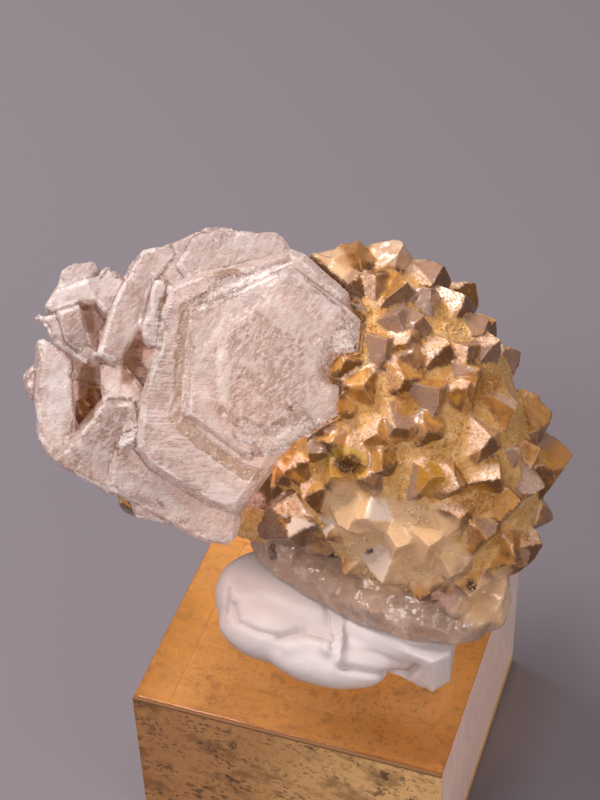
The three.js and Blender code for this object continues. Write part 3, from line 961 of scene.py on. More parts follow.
        # Gloss and relief.
        matt = graph.math("MULTIPLY", sediment, 0.25)
        rough = graph.math("ADD", graph.between(fine, 0.3, 0.7, 0.14, 0.3), matt)
        rough = graph.math("MULTIPLY_ADD", stone, -0.14, rough)
        flat = graph.bump(graph.math("ADD", fine, graph.math("MULTIPLY", wispy, 0.8)), 0.45, 0.06)
        crusty = graph.bump(graph.math("MULTIPLY", grains, sediment), 1.0, 0.30, flat)
        etched = graph.bump(sparks.outputs["Height"], 0.6, 0.10, flat)
        normal = graph.mix_normals(glint, crusty, etched)
        along = graph.stretched(place, (2.0, 1.0, 1.0), (0, 20, 30))
        splinters = graph.group(effects.glitter, {"Place": along, "Size": 1.5})
        chips = graph.group(effects.glitter, {"Place": place, "Size": 0.6})
        split = graph.bump(chips.outputs["Height"], 0.7, 0.22, flat)
        split = graph.bump(splinters.outputs["Height"], 0.9, 0.7, split)
        normal = graph.mix_normals(stone, normal, split)
        graph.fix(surface, {"Base Color": body, "Roughness": rough, "Normal": normal})
        graph.fix(surface, {"IOR": 1.55, "Coat Weight": 0.3, "Coat Roughness": 0.22})
        graph.scatter(surface, 0.25, (1.0, 0.7, 0.4), 0.9)
        return material


@dataclass(frozen=True)
class CalciteFinish:
    """Faintly pink calcite with growth lines, painted sheen, frosted rims partly painted as highlight and
    sugary places, clear or milky.
    """

    name: str = "clear calcite"
    transmission: float = 0.55
    translucence: float = 0.25
    body: Colour = (0.83, 0.67, 0.615)
    frost: Colour = (1.0, 0.925, 0.91)
    tan: Colour = (0.38, 0.27, 0.14)
    smoke: Colour = (0.50, 0.365, 0.30)
    # Dark grey for the growth lines, and painted shade in the creases.
    dark_lines_and_crease_shade: Colour = (0.25, 0.195, 0.175)
    speck: Colour = (0.16, 0.09, 0.03)
    # The brown of the quartz behind, painted as shade in the hollows between the blades.
    under: Colour = (0.32, 0.18, 0.085)
    depth_colour: Colour = (0.965, 0.91, 0.885)
    depth_density: float = 18.0
    passing: Colour = (0.80, 0.775, 0.755)

    def build(self, effects: Effects) -> Material:
        """Returns the material.

        Args:
            effects: the shared node groups.

        Returns:
            The material.
        """
        material, graph, surface = new_material(self.name)
        place, face = graph.millimetres(), graph.face_place()
        # What is kept with the points, and patterns in millimetres.
        ridge, valley, channel = graph.channels("creases")
        lines, sugar, stain = graph.channels("marks")
        silk_sheen, shade, hollow = graph.channels("planes")
        cloud = graph.noise(place, 3.0, 5, 0.6)
        fine = graph.noise(place, 0.4, 5, 0.7)
        silky = graph.noise(graph.stretched(face, (1.0, 3.0, 1.6), (0, 0, -50)), 0.35, 4, 0.6)
        streaks = graph.noise(graph.stretched(face, (1.0, 3.4, 2.0), (0, 0, -28)), 0.55, 5, 0.66)
        scratches = graph.noise(graph.stretched(face, (1.0, 5.0, 2.0), (0, 0, 58)), 0.9, 5, 0.66)
        ripples = graph.noise(graph.stretched(face, (3.4, 0.42, 3.4)), 0.8, 5, 0.66, 0.7)
        cleavage = graph.noise(graph.stretched(face, (2.6, 1.0, 1.0), (0, 0, 34)), 1.3, 3)
        vein = graph.between(graph.math("ABSOLUTE", graph.math("SUBTRACT", cleavage, 0.5)), 0.022, 0.004)
        # The faces: smoke, frost, veins and growth lines.
        smoky = graph.math("MULTIPLY_ADD", shade, 0.9, graph.between(cloud, 0.40, 0.64, 0.0, 0.7), clamp=True)
        body = graph.mix(smoky, self.body, self.smoke)
        body = graph.layer(body, self.frost, graph.between(streaks, 0.47, 0.66, 0.0, 0.75))
        body = graph.layer(body, self.frost, graph.between(scratches, 0.54, 0.68, 0.0, 0.6))
        body = graph.layer(body, self.smoke, graph.between(silky, 0.48, 0.30, 0.0, 0.3))
        body = graph.layer(body, self.frost, graph.between(silky, 0.51, 0.65, 0.0, 0.9))
        body = graph.layer(body, self.frost, vein, 0.6)
        body = graph.layer(body, self.dark_lines_and_crease_shade, lines, graph.between(ripples, 0.47, 0.36, 0.0, 0.65))
        body = graph.layer(body, self.frost, lines, graph.between(ripples, 0.53, 0.6, 0.0, 0.95))
        # Channels, painted sheen on the silky places and painted shade in the corners.
        tan = graph.mix(graph.between(fine, 0.42, 0.6), self.tan, self.smoke)
        body = graph.layer(body, tan, channel, graph.between(streaks, 0.62, 0.5, 0.45, 0.9))
        # Painted sheen on the silky places.
        body = graph.layer(body, self.frost, silk_sheen, graph.between(streaks, 0.38, 0.52, 0.35, 0.95))
        # Painted shade in the creases between the blades.
        body = graph.layer(body, self.dark_lines_and_crease_shade, graph.between(valley, 0.35, 0.05), 0.85)
        # Painted sparkling flecks, frosted rims that are partly painted highlight, painted shade in the
        # hollows, and stains.
        grain = graph.group(effects.glitter, {"Place": place, "Size": 0.24})
        sparks = graph.between(grain.outputs["Spark"], 0.90, 0.96, 0.0, 0.9)
        # Painted sparkle: white flecks on the brightest glitter cells.
        flecks = graph.math("MULTIPLY", sparks, graph.between(fine, 0.4, 0.55))
        body = graph.layer(body, self.frost, flecks)
        # Frosted rims along the edges, partly a painted highlight.
        rim = graph.group(effects.rim, {"Place": place, "Distance": ridge, "Width": 0.30, "Chips": 0.3})
        grainy = graph.math("MULTIPLY", sugar, graph.between(fine, 0.42, 0.54))
        frost = graph.math("MAXIMUM", rim.outputs[0], grainy)
        body = graph.layer(body, self.frost, frost)
        # Painted shade in the hollows between the blades.
        body = graph.layer(body, self.under, hollow, graph.between(fine, 0.25, 0.6, 1.0, 0.8))
        body = graph.layer(body, self.speck, stain)
        # Gloss and relief.
        satin = graph.between(cloud, 0.3, 0.7, 0.06, 0.17)
        rough = graph.math("MULTIPLY_ADD", frost, 0.2, satin, clamp=True)
        gloss = graph.math("MULTIPLY_ADD", silk_sheen, 0.7, 0.2, clamp=True)
        growth = graph.noise(graph.stretched(face, (1.0, 0.3, 1.0)), 0.9, 3)
        normal = graph.bump(graph.math("ADD", silky, growth), 0.7, 0.2)
        scored = graph.math("MULTIPLY", streaks, graph.math("MULTIPLY_ADD", lines, -0.8, 1))
        normal = graph.bump(scored, 1.0, 0.24, normal)
        normal = graph.bump(graph.math("MULTIPLY", ripples, lines), 1.0, 0.34, normal)
        sugary = graph.math("MULTIPLY", grain.outputs["Height"], graph.math("MULTIPLY_ADD", sugar, 0.9, 0.1))
        normal = graph.bump(sugary, 0.8, 0.12, normal)
        graph.fix(surface, {"Base Color": body, "Roughness": rough, "Normal": normal, "Coat Weight": gloss})
        graph.fix(surface, {"IOR": 1.6, "Coat Roughness": 0.26, "Transmission Weight": self.transmission})
        graph.scatter(surface, self.translucence, (1.0, 0.8, 0.7), 0.8)
        make_clear(graph, surface, self.depth_colour, self.depth_density, self.passing)
        return material


MILKY = CalciteFinish(name="milky calcite", transmission=0.25, translucence=0.4)


@dataclass(frozen=True)
class PuttyFinish:
    """White putty, smooth where it was pressed, with painted shade in its pink-grey creases and a few dark
    specks.
    """

    white: Colour = (0.72, 0.68, 0.69)
    # Pink-grey, for the painted shade in the creases and for handling grime.
    crease: Colour = (0.50, 0.42, 0.40)
    speck: Colour = (0.12, 0.09, 0.08)

    def build(self, effects: Effects) -> Material:
        """Returns the material.

        Args:
            effects: the shared node groups.

        Returns:
            The material.
        """
        material, graph, surface = new_material("white putty")
        place = graph.millimetres()
        crease, handled, _ = graph.channels("creases")
        cloud = graph.noise(place, 2.4, 4)
        fine = graph.noise(place, 0.25, 4, 0.6)
        # Painted shade in the sunk creases.
        crease_shade = graph.math("MULTIPLY", crease, graph.between(cloud, 0.3, 0.7, 0.05, 0.4))
        body = graph.mix(crease_shade, self.white, self.crease)
        body = graph.layer(body, self.crease, handled, graph.between(fine, 0.45, 0.7, 0.0, 0.4))
        specks = graph.group(effects.specks, {"Place": place, "Size": 0.5, "Share": 0.05})
        body = graph.layer(body, self.speck, specks.outputs[0])
        rough = graph.between(cloud, 0.3, 0.7, 0.42, 0.6)
        pulled = graph.noise(graph.stretched(place, (4.0, 1.0, 1.0), (0, 0, -12)), 0.6, 3)
        height = graph.math("ADD", graph.math("MULTIPLY", fine, 0.35), pulled)
        normal = graph.bump(height, 0.35, 0.05)
        graph.fix(surface, {"Base Color": body, "Roughness": rough, "Normal": normal})
        graph.scatter(surface, 0.25, (1.0, 0.8, 0.75), 0.8)
        return material


@dataclass(frozen=True)
class AcrylicFinish:
    """Clear acrylic, polished with hairline scuffs or frosted where it was sawn."""

    name: str = "polished acrylic"
    colour: Colour = (0.985, 0.96, 0.93)
    smoothest: float = 0.015
    roughest: float = 0.07
    cuts: float = 0.0
    transmission: float = 1.0
    depth_colour: Colour = (0.97, 0.90, 0.82)
    depth_density: float = 9.0
    passing: Colour = (0.9, 0.86, 0.8)
    worn_share: float = 0.86

    def build(self) -> Material:
        """Returns the material.

        Returns:
            The material.
        """
        material, graph, surface = new_material(self.name)
        place = graph.millimetres()
        scuffs = graph.noise(graph.stretched(place, (9.0, 0.6, 1.0), (0, 0, 24)), 0.5, 2)
        haze = graph.noise(place, 6.0, 3)
        cuts = graph.noise(graph.stretched(place, (1.0, 0.3, 4.0), (12, 0, 0)), 1.1, 5, 0.65)
        shaded = tuple(self.worn_share * channel for channel in self.colour)
        worn = graph.math("MULTIPLY", graph.between(cuts, 0.4, 0.62), min(1.0, self.cuts))
        body = graph.mix(worn, self.colour, shaded)
        rough = graph.between(haze, 0.35, 0.7, self.smoothest, self.roughest)
        height = graph.math("MULTIPLY_ADD", cuts, 9.0 * self.cuts, graph.math("MULTIPLY", scuffs, 0.15))
        normal = graph.bump(height, 0.8, 0.02)
        graph.fix(surface, {"Base Color": body, "Roughness": rough, "Normal": normal})
        graph.fix(surface, {"IOR": 1.49, "Transmission Weight": self.transmission})
        make_clear(graph, surface, self.depth_colour, self.depth_density, self.passing)
        return material


SAWN = AcrylicFinish(
    name="sawn acrylic", colour=(1.0, 0.88, 0.84), smoothest=0.5, roughest=0.62, cuts=1.0, transmission=0.28
)


@dataclass(frozen=True)
class BackingFinish:
    """Brown card with an amber mottle and dark flecks that run one way."""

    amber: Colour = (0.62, 0.30, 0.062)
    light: Colour = (0.86, 0.48, 0.12)
    brown: Colour = (0.21, 0.092, 0.026)
    drab: Colour = (0.52, 0.25, 0.10)
    buff: Colour = (1.0, 0.62, 0.27)
    fleck: Colour = (0.05, 0.027, 0.018)
    rim: float = 23.9

    def build(self, effects: Effects) -> Material:
        """Returns the material.

        Args:
            effects: the shared node groups.

        Returns:
            The material.
        """
        material, graph, surface = new_material("brown card")
        place = graph.millimetres()
        across, _, height = graph.add("ShaderNodeSeparateXYZ", {0: place}).outputs
        upright = graph.between(height, 1.2, 2.2)
        cloud = graph.noise(place, 9.0, 4)
        grain = graph.noise(graph.stretched(place, (2.6, 1.0, 1.0), (0, 0, 8)), 1.0, 5, 0.7)
        # The mottle: lighter to the right, drab on the upright sheet.
        to_right = graph.math("MULTIPLY_ADD", graph.math("SUBTRACT", cloud, 0.5), 26.0, across)
        body = graph.mix(graph.between(to_right, -20.0, 22.0), self.amber, self.light)
        body = graph.layer(body, self.brown, graph.between(grain, 0.5, 0.78, 0.0, 0.6))
        drab = graph.mix(graph.between(to_right, -16.0, 20.0), self.drab, self.buff)
        body = graph.layer(body, drab, upright, graph.between(grain, 0.3, 0.6, 0.5, 0.9))
        # Dark flecks in clusters.
        long_place = graph.stretched(place, (1.15, 1.0, 0.9), (0, 8, 0))
        coarse = graph.group(effects.specks, {"Place": long_place, "Size": 1.5, "Share": 0.56}).outputs[0]
        minute = graph.group(effects.specks, {"Place": long_place, "Size": 0.55, "Share": 0.56}).outputs[0]
        clustered = graph.between(graph.noise(place, 3.6, 3), 0.36, 0.6, 0.25, 1)
        strength = graph.math("MULTIPLY", clustered, graph.math("MULTIPLY_ADD", upright, 0.65, 0.12))
        blotches = graph.between(graph.noise(long_place, 4.5, 4, 0.6), 0.5, 0.66, 0.0, 0.6)
        body = graph.layer(body, self.brown, blotches, upright)
        flecks = graph.math("MULTIPLY", graph.math("MAXIMUM", coarse, minute), strength)
        body = graph.layer(body, self.fleck, flecks)
        body = graph.layer(body, self.brown, graph.between(height, self.rim - 0.4, self.rim))
        rough = graph.between(grain, 0.3, 0.7, 0.5, 0.75)
        normal = graph.bump(grain, 0.4, 0.1)
        graph.fix(surface, {"Base Color": body, "Roughness": rough, "Normal": normal})
        return material


def dress(piece: Piece, material: Material, slot: Slot, *nodes: str) -> None:
    """Gives a piece its finish and its place in the frame.

    Args:
        piece: the piece.
        material: its material.
        slot: the record's slot that the finish belongs to.
        nodes: the frame's nodes that the piece stands for.
    """
    piece.data.materials.clear()
    piece.data.materials.append(material)
    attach(piece, BODY)
    if nodes:
        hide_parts(*nodes)
    log.info("%s: %d faces, slot %s", piece.name, len(piece.data.polygons), slot.value)


@dataclass(frozen=True)
class Sprinkle:
    """Small crystals that stand on a piece's surface, the more of them the higher one of its masks is."""

    name: str
    grain: Grain
    mask: str
    density: float
    sizes: Point2
    height: float = 1.0
    tilt: float = 30.0
    seed: int = 1
    rhomb_side: float = 0.62
    point_root: float = 0.3

    def shape(self, graph: Graph) -> Socket:
        """Adds the nodes that make one crystal, about one unit wide, partly under the origin.

        Args:
            graph: the tree to add to.

        Returns:
            The crystal's geometry.
        """
        if self.grain is Grain.RHOMB:
            solid = graph.add("GeometryNodeMeshCube")
            on_corner = (math.radians(45), -math.atan(math.sqrt(0.5)), 0)
            place = {"Rotation": on_corner, "Scale": (self.rhomb_side,) * 3}
        else:
            solid = graph.add("GeometryNodeMeshCone", {"Vertices": 6, "Radius Bottom": 0.5, "Depth": 1.0})
            place = {"Translation": (0, 0, -self.point_root)}
        return graph.add("GeometryNodeTransform", {"Geometry": solid.outputs["Mesh"], **place}).outputs[0]

    def tree(self) -> bpy.types.NodeTree:
        """Builds the node tree that sprinkles the crystals.

        Returns:
            The tree, with inputs for the surface, the crystals' spread, sizes and lean, and the finish.
        """
        tree = bpy.data.node_groups.new(self.name, "GeometryNodeTree")
        sockets = {
            "Surface": "Geometry", "Density": "Float", "Smallest": "Float", "Largest": "Float",
            "Height": "Float", "Tilt": "Float", "Seed": "Int", "Finish": "Material",
        }
        for label, kind in sockets.items():
            tree.interface.new_socket(label, in_out="INPUT", socket_type=f"NodeSocket{kind}")
        tree.interface.new_socket("Crystals", in_out="OUTPUT", socket_type="NodeSocketGeometry")
        graph = Graph(tree)
        given = graph.add("NodeGroupInput").outputs
        named = graph.add("GeometryNodeInputNamedAttribute", {"Name": self.mask}, data_type="FLOAT")
        share = graph.math("MULTIPLY", named.outputs["Attribute"], given["Density"])
        ground = {"Mesh": given["Surface"], "Density": share, "Seed": given["Seed"]}
        spots = graph.add("GeometryNodeDistributePointsOnFaces", ground)
        chance = {2: given["Smallest"], 3: given["Largest"], "Seed": given["Seed"]}
        width = graph.add("FunctionNodeRandomValue", chance, data_type="FLOAT").outputs[1]
        tall = graph.math("MULTIPLY", width, given["Height"])
        size = graph.add("ShaderNodeCombineXYZ", {0: width, 1: width, 2: tall})
        lean = graph.add("ShaderNodeCombineXYZ", {0: given["Tilt"], 1: given["Tilt"], 2: math.pi})
        other_way = graph.vector("SCALE", {0: lean.outputs[0], "Scale": -1.0})
        chance = {0: other_way.outputs[0], 1: lean.outputs[0], "Seed": given["Seed"]}
        turn = graph.add("FunctionNodeRandomValue", chance, data_type="FLOAT_VECTOR").outputs[0]
        both = {"Rotation": spots.outputs["Rotation"], "Rotate By": turn}
        rotation = graph.add("FunctionNodeRotateRotation", both, rotation_space="LOCAL").outputs[0]
        inputs = {"Points": spots.outputs["Points"], "Instance": self.shape(graph), "Rotation": rotation}
        placed = graph.add("GeometryNodeInstanceOnPoints", {**inputs, "Scale": size.outputs[0]}).outputs[0]
        plain = graph.add("GeometryNodeRealizeInstances", {0: placed}).outputs[0]
        dressed = graph.add("GeometryNodeSetMaterial", {"Geometry": plain, "Material": given["Finish"]})
        graph.feed(graph.add("NodeGroupOutput").inputs[0], dressed.outputs[0])
        return tree

    def build(self, host: Piece, material: Material, slot: Slot) -> Piece:
        """Makes the crystals on a piece and dresses them.

        Args:
            host: the piece that they stand on.
            material: their finish.
            slot: the record's slot that the finish belongs to.

        Returns:
            The crystals as one piece.
        """
        piece = new_piece(self.name, host.data.copy())
        modifier = piece.modifiers.new(self.name, "NODES")
        modifier.node_group = self.tree()
        values = {
            "Density": self.density / MM**2, "Smallest": self.sizes[0] * MM, "Largest": self.sizes[1] * MM,
            "Height": self.height, "Tilt": math.radians(self.tilt), "Seed": self.seed, "Finish": material,
        }
        for item in modifier.node_group.interface.items_tree:
            if item.name in values:
                modifier[item.identifier] = values[item.name]
        bake_modifiers(piece)
        dress(piece, material, slot)
        return piece


@dataclass
class QuartzCluster:
    """The dome of quartz crystals, with its films, stains and etched faces."""

    node: str = "quartz_crystals"
    calcite_node: str = "calcite_crystals"
    cell_depth: int = 8
    cell_scale: float = 0.735
    # The film that fills the hollows between the crystals.
    mounds: tuple[Mound, ...] = (
        Mound((12, -3, 0), (24.0, 15.0, 13.6), -65), Mound((-15, -1, -5.5), (14, 13.5, 6.5)),
        Mound((-3.5, -9, -3.5), (9.5, 9, 7)),
    )
    film_rise: float = 0.42
    film_change: float = 0.45
    film_lumps: Lumps = Lumps(4.5, 33)
    film_blend: float = 0.16
    film_edge: Point2 = (0.1, -0.25)
    film_ease: float = 0.8
    film_rounds: int = 6
    film_grain: Lumps = Lumps(0.9, 45)
    film_grain_height: float = 0.11
    hollow_edge: Point2 = (0.45, 0.1)
    hollow_ease: float = 0.6
    hollow_rounds: int = 8
    # The upper rim, where the film ends and the crystals darken.
    top_range: Point2 = (11.0, 16.0)
    top_sink: float = 1.2
    top_dark: float = 0.25
    top_dark_range: Point2 = (6.0, 14.0)
    # Painted shade on crystals in shaded places, and the painted shadow and dark painted shade line beside
    # the calcite.
    dark_drop: float = 3.0
    near_gloom: float = 0.45
    near_film: float = 0.8
    least_gap: float = 0.15
    contact: float = 0.3
    shadow_reach: float = 1.2
    contact_line_reach: float = 0.8
    contact_shade_share: float = 0.85
    # Worn ridges, and faces that aren't quite flat.
    ridge_reach: float = 0.352
    wear: float = 0.16
    wear_change: float = 0.14
    wear_lumps: Lumps = Lumps(2.0, 31)
    wear_rounds: int = 3
    face_lumps: Lumps = Lumps(1.1, 41)
    face_height: float = 0.02
    sharp_crease: float = 24
    # Where the druse stands in the film.
    druse_top: float = 17.5
    druse_fade: float = 2.0
    druse_lumps: Lumps = Lumps(2.4, 49)
    druse_range: Point2 = (-0.4, 0.5)
    # Each flat face's tone: painted light and shade by how it faces the lamp, and its own random tone.
    tone_lit: float = 0.45
    tone_lumps: Lumps = Lumps(0.9, 3, 1)
    tone_change: float = 0.3
    chance_lumps: Lumps = Lumps(1.1, 5, 1)
    sparkling_above: float = 0.24
    smoky_below: float = -0.28
    # How the spots of colour fade and waver at their edges.
    spot_lumps: Lumps = Lumps(1.4, 11)
    spot_wobble: float = 0.16
    spot_edge: Point2 = (0.0, 0.3)
    pale_edge: Point2 = (-0.12, 0.3)
    shown_range: Point2 = (-0.15, 0.15)
    milky_lumps: Lumps = Lumps(9.0, 21)
    milky_range: Point2 = (0.25, 0.6)
    rust_lumps: Lumps = Lumps(3.0, 23)
    rust_range: Point2 = (0.55, 0.8)
    # The broken stone over the putty.
    base_top: float = 37.5
    base_fade: float = 3.0
    base_sink: float = 3.0
    base_line: Lumps = Lumps(3.0, 17)
    base_line_height: float = 1.6
    base_rough: float = 0.14
    base_lumps: Lumps = Lumps(1.6, 43)
    base_chip: float = 0.5
    base_chips: Lumps = Lumps(3.2, 55, 1)
    base_ease: float = 0.8
    base_rounds: int = 12
    base_front_lumps: Lumps = Lumps(3.0, 47)
    base_front_height: float = 0.35
    base_depth: float = 4.0
    base_front: tuple[Point2, ...] = (
        (-13, 3), (-7, -1.6), (0, -4.4), (7, -6.2), (14, -6.9), (19, -5.6), (23, -1),
    )
    druse: Sprinkle = Sprinkle(
        "quartz_druse", Grain.POINT, "druse", density=2.2, sizes=(0.40, 1.0), height=0.6, tilt=26, seed=3
    )
    blunt_edge: float = 0.8
    blunted: tuple[tuple[Point3, Point3, float], ...] = (
        ((2.2, 19.0, 4.0), (-0.10, 0.93, 0.35), 5.0),
        ((11.0, 20.6, 3.0), (-0.15, 0.90, 0.40), 4.0),
        ((17.5, 18.2, 3.0), (0.20, 0.88, 0.42), 4.0),
    )
    # Places of each look on the show face.
    # The way a face turns to the lamp, for its painted light and its painted glint.
    glint_way: Point3 = (-0.30, 0.74, 0.60)
    glint_range: Point2 = (0.5, 0.72)
    front_facing: float = 0.05
    far_side_mauve: float = 0.45
    glints: tuple[Patch, ...] = (
        Patch((19.5, 10.3), (2.0, 2.8)), Patch((17.8, 4.3), (3.0, 2.0)), Patch((19.5, 1.3), (1.8, 1.6)),
        Patch((24.4, 6.9), (1.8, 1.0)), Patch((25.0, -2.3), (2.6, 1.6)), Patch((20.3, -4.8), (2.6, 1.9)),
        Patch((21.6, -9.6), (2.4, 1.2)), Patch((27.3, -15.5), (2.7, 2.0)), Patch((30.1, -13.8), (1.7, 1.5)),
        Patch((13.0, 7.0), (1.3, 1.0)), Patch((16.0, -4.5), (1.3, 1.3)),
    )
    mauves: tuple[Patch, ...] = (
        Patch((12.8, 11.9), (3.0, 3.0)), Patch((9.6, 14.0), (1.6, 1.6)), Patch((16.5, 11.9), (1.5, 2.0)),
        Patch((15.9, 9.1), (1.6, 1.4)), Patch((10.0, 5.8), (1.5, 2.0)), Patch((13.4, 5.0), (1.1, 1.1)),
        Patch((15.3, -0.4), (2.3, 1.9)), Patch((12.1, -2.6), (1.5, 2.1)), Patch((25.2, 5.4), (1.8, 1.6)),
        Patch((20.4, -7.2), (2.4, 1.2)), Patch((19.9, -20.3), (1.3, 1.8)), Patch((27.6, -8.8), (2.2, 1.8)),
    )
    pales: tuple[Patch, ...] = (
        Patch((12.6, -18.0), (9.0, 6.2), -12), Patch((24.2, -25.2), (5.2, 3.2), 20),
        Patch((12.0, 18.8), (3.6, 2.2), -12), Patch((5.6, -13.5), (3.0, 3.4)), Patch((3.5, 17.0), (3.2, 2.6)),
    )
    pale_cover: float = 0.85
    # The pale top crystal, given the broken stone's look with its painted sheen.
    greys: tuple[Patch, ...] = (Patch((12.0, 18.8), (3.8, 2.4), -12),)
    grey_share: float = 0.6
    # Pale white crystals, painted whitest on faces that turn up and out towards the lamps: partly painted
    # light.
    whites: tuple[Patch, ...] = (
        Patch((9.3, -21.1), (1.7, 2.2)), Patch((11.3, -13.3), (2.7, 1.3), 10),
        Patch((0.3, -15.2), (2.0, 2.4)), Patch((16.9, -14.9), (1.2, 1.2)), Patch((4.1, -15.4), (1.6, 1.2)),
    )
    rusts: tuple[Patch, ...] = (
        Patch((16.6, -10.0), (2.6, 2.6)), Patch((13.2, -0.6), (1.6, 2.0), 50), Patch((5.8, -8.4), (2.6, 2.2)),
        Patch((22.3, -12.4), (3.0, 2.2)), Patch((9.2, -18.4), (0.5, 0.5)), Patch((26.4, -17.4), (3.0, 1.6)),
        Patch((22.6, 1.4), (2.2, 2.2)), Patch((4.4, -1.2), (1.2, 1.8)), Patch((5.4, 18.6), (4.6, 2.0), -10),
        Patch((32.6, -7.0), (2.6, 2.2)),
    )
    # Shaded places behind and below the calcite, where the crystals are darkened with painted shade.
    painted_shade_patches: tuple[Patch, ...] = (Patch((-24.0, 2.0), (9.0, 15.0)), Patch((-3.6, -13.0), (2.4, 3.4)))
    pinks: tuple[Patch, ...] = (Patch((17.8, -25.0), (1.8, 0.9), -35), Patch((-5.6, -12.4), (1.4, 1.4)))
    yellows: tuple[Patch, ...] = (
        Patch((5.8, -8.1), (2.9, 2.6)), Patch((16.4, -9.8), (2.2, 2.4)), Patch((25.9, -26.5), (1.2, 1.0)),
        Patch((19.2, -18.0), (1.4, 2.2)),
    )
    soots: tuple[Patch, ...] = (
        Patch((5.9, -8.0), (1.9, 1.6)), Patch((9.0, -18.4), (0.55, 0.45)), Patch((-3.5, -19.0), (0.6, 1.3)),
        Patch((21.4, -23.2), (0.8, 1.0)), Patch((3.4, -0.6), (0.7, 0.9)),
    )

    def build(self, material: Material) -> Piece:
        """Makes the cluster and dresses it.

        Args:
            material: its finish.

        Returns:
            The piece.
        """
        grown = Grown("quartz_cluster", self.node, self.cell_depth, self.cell_scale)
        piece, skin = grown.piece, grown.skin
        self.blunt(skin)
        self.straighten_base(skin)
        height, way = self.over_film(skin.points)
        calcite = BVHTree.FromPolygons(*self.calcite_faces())
        room = np.array([calcite.find_nearest(point)[3] for point in skin.points]) - self.least_gap
        self.colour(grown, height, room)
        self.carve(grown, height, way, room)
        skin.keep_inside()
        skin.finish(self.sharp_crease)
        dress(piece, material, Slot.QUARTZ, self.node)
        self.druse.build(piece, material, Slot.QUARTZ)
        return piece

    def over_film(self, points: np.ndarray) -> tuple[np.ndarray, np.ndarray]:
        """Measures how far points stand out of the film that fills the hollows between the crystals.

        Args:
            points: points of the part, in millimetres.

        Returns:
            How far each point is over the film, less than 0 under it, and the way out of the film there.
        """
        own = FACE.local(points)
        rise = self.film_rise * (1 + self.film_change * self.film_lumps.at(points))
        rise -= self.base_sink * self.broken(points)
        rise -= self.top_sink * ramp(own[:, 1], *self.top_range)
        found = [mound.clearance(own, rise) for mound in self.mounds]
        heights = np.array([height for height, _ in found])
        lowest = heights.argmin(axis=0)
        ways = np.array([way for _, way in found])
        row = np.arange(len(points))
        return heights[lowest, row], ways[lowest, row] @ FACE.axes()

    def broken(self, points: np.ndarray) -> np.ndarray:
        """Returns how much points belong to the broken stone under the crystals, from 0 to 1."""
        return ramp(points[:, 2], self.base_top, self.base_top - self.base_fade)

    def facet_looks(self, facets: Facets) -> dict[str, np.ndarray]:
        """Works out what each flat face of the crystals looks like, with painted light and shade by how it
        faces the lamp.

        Args:
            facets: the flat faces.

        Returns:
            One value a face for its tone, and how mauve, glinting, white and darkened by painted shade it is.
        """
        seen = FACE.seen(facets.middles)
        ways = facets.normals @ FACE.axes().T
        front = ways[:, 2] > self.front_facing
        towards = ways @ unit(np.array(self.glint_way))
        # Painted light and shade: a face is lighter the more it turns to the lamp, plus its own random tone.
        tone = 0.5 + self.tone_lit * (towards - 0.45) + self.tone_change * self.tone_lumps.at(facets.middles)
        tone -= self.top_dark * ramp(seen[:, 1], *self.top_dark_range)
        chance = self.chance_lumps.at(facets.middles)
        sparkling = (front & (deepest(self.glints, seen) > 0)) | (chance > self.sparkling_above)
        smoky = (front & (deepest(self.mauves, seen) > 0)) | (chance < self.smoky_below)
        # A painted glint on sparkling faces that turn to the lamp.
        glint = sparkling * ramp(towards, *self.glint_range)
        # The mauve film is painted fainter on faces turned from the lamp, as painted shade.
        mauve = smoky * (1 - glint) * np.where(towards > 0.2, 1, self.far_side_mauve)
        # White faces only where they turn up and out: pale crystals with painted light.
        white = (front & (deepest(self.whites, seen) > 0)) * ramp(ways[:, 1] + ways[:, 2], 0.2, 0.7)
        # Painted shade on front faces in the shaded places.
        dark = ramp(deepest(self.painted_shade_patches, seen), *self.spot_edge) * front * (1 - white)
        return {"tone": tone, "mauve": mauve, "glint": glint, "white": white, "dark": dark}

    def colour(self, grown: Grown, height: np.ndarray, room: np.ndarray) -> None:
        """Keeps with each point the values that its colours are mixed from.

        Args:
            grown: the crystals.
            height: how far each point is over the film.
            room: how much room there is up to the calcite.
        """
        skin = grown.skin
        looks = {name: values[grown.face] for name, values in self.facet_looks(grown.facets).items()}
        seen = FACE.seen(skin.points)
        wobble = self.spot_wobble * self.spot_lumps.at(skin.points)
        shown = ramp(skin.facing(), *self.shown_range)
        # Painted shadow on the quartz near the calcite, and painted shade in the shaded places.
        near = ramp(room, self.shadow_reach, self.contact)
        gloom = np.maximum(looks["dark"], self.near_gloom * near)
        mauve, glint = (looks[name] * (1 - gloom) for name in ("mauve", "glint"))
        skin.store("facets", looks["tone"] - gloom, mauve, glint)
        pale = ramp(deepest(self.pales, seen) + wobble, *self.pale_edge) * shown
        behind = ramp(self.milky_lumps.at(skin.points), *self.milky_range) * (1 - shown)
        film = height + self.dark_drop * looks["dark"] - self.near_film * near * shown
        skin.store("creases", grown.ridge, film, np.maximum(pale, behind))
        rust = ramp(deepest(self.rusts, seen) + wobble, *self.spot_edge) * shown
        rust += ramp(self.rust_lumps.at(skin.points), *self.rust_range) * (1 - shown)
        level = skin.points[:, 2] + self.base_line_height * self.base_line.at(skin.points)
        stone = ramp(level, self.base_top + 0.5, self.base_top - 1.5) * (1 - self.pale_cover * pale)
        stone = np.maximum(stone, self.grey_share * ramp(deepest(self.greys, seen), 0.0, 0.4) * shown)
        skin.store("stains", rust, stone, looks["white"])
        spots = (self.pinks, self.yellows, self.soots)
        pink, yellow, soot_and_contact_shade = (ramp(deepest(kind, seen) + wobble, *self.spot_edge) * shown for kind in spots)
        # A painted shade line along the contact with the calcite.
        soot_and_contact_shade = np.maximum(soot_and_contact_shade, self.contact_shade_share * ramp(room, self.contact_line_reach, self.contact) * shown)
        skin.store("spots", pink, yellow, soot_and_contact_shade)

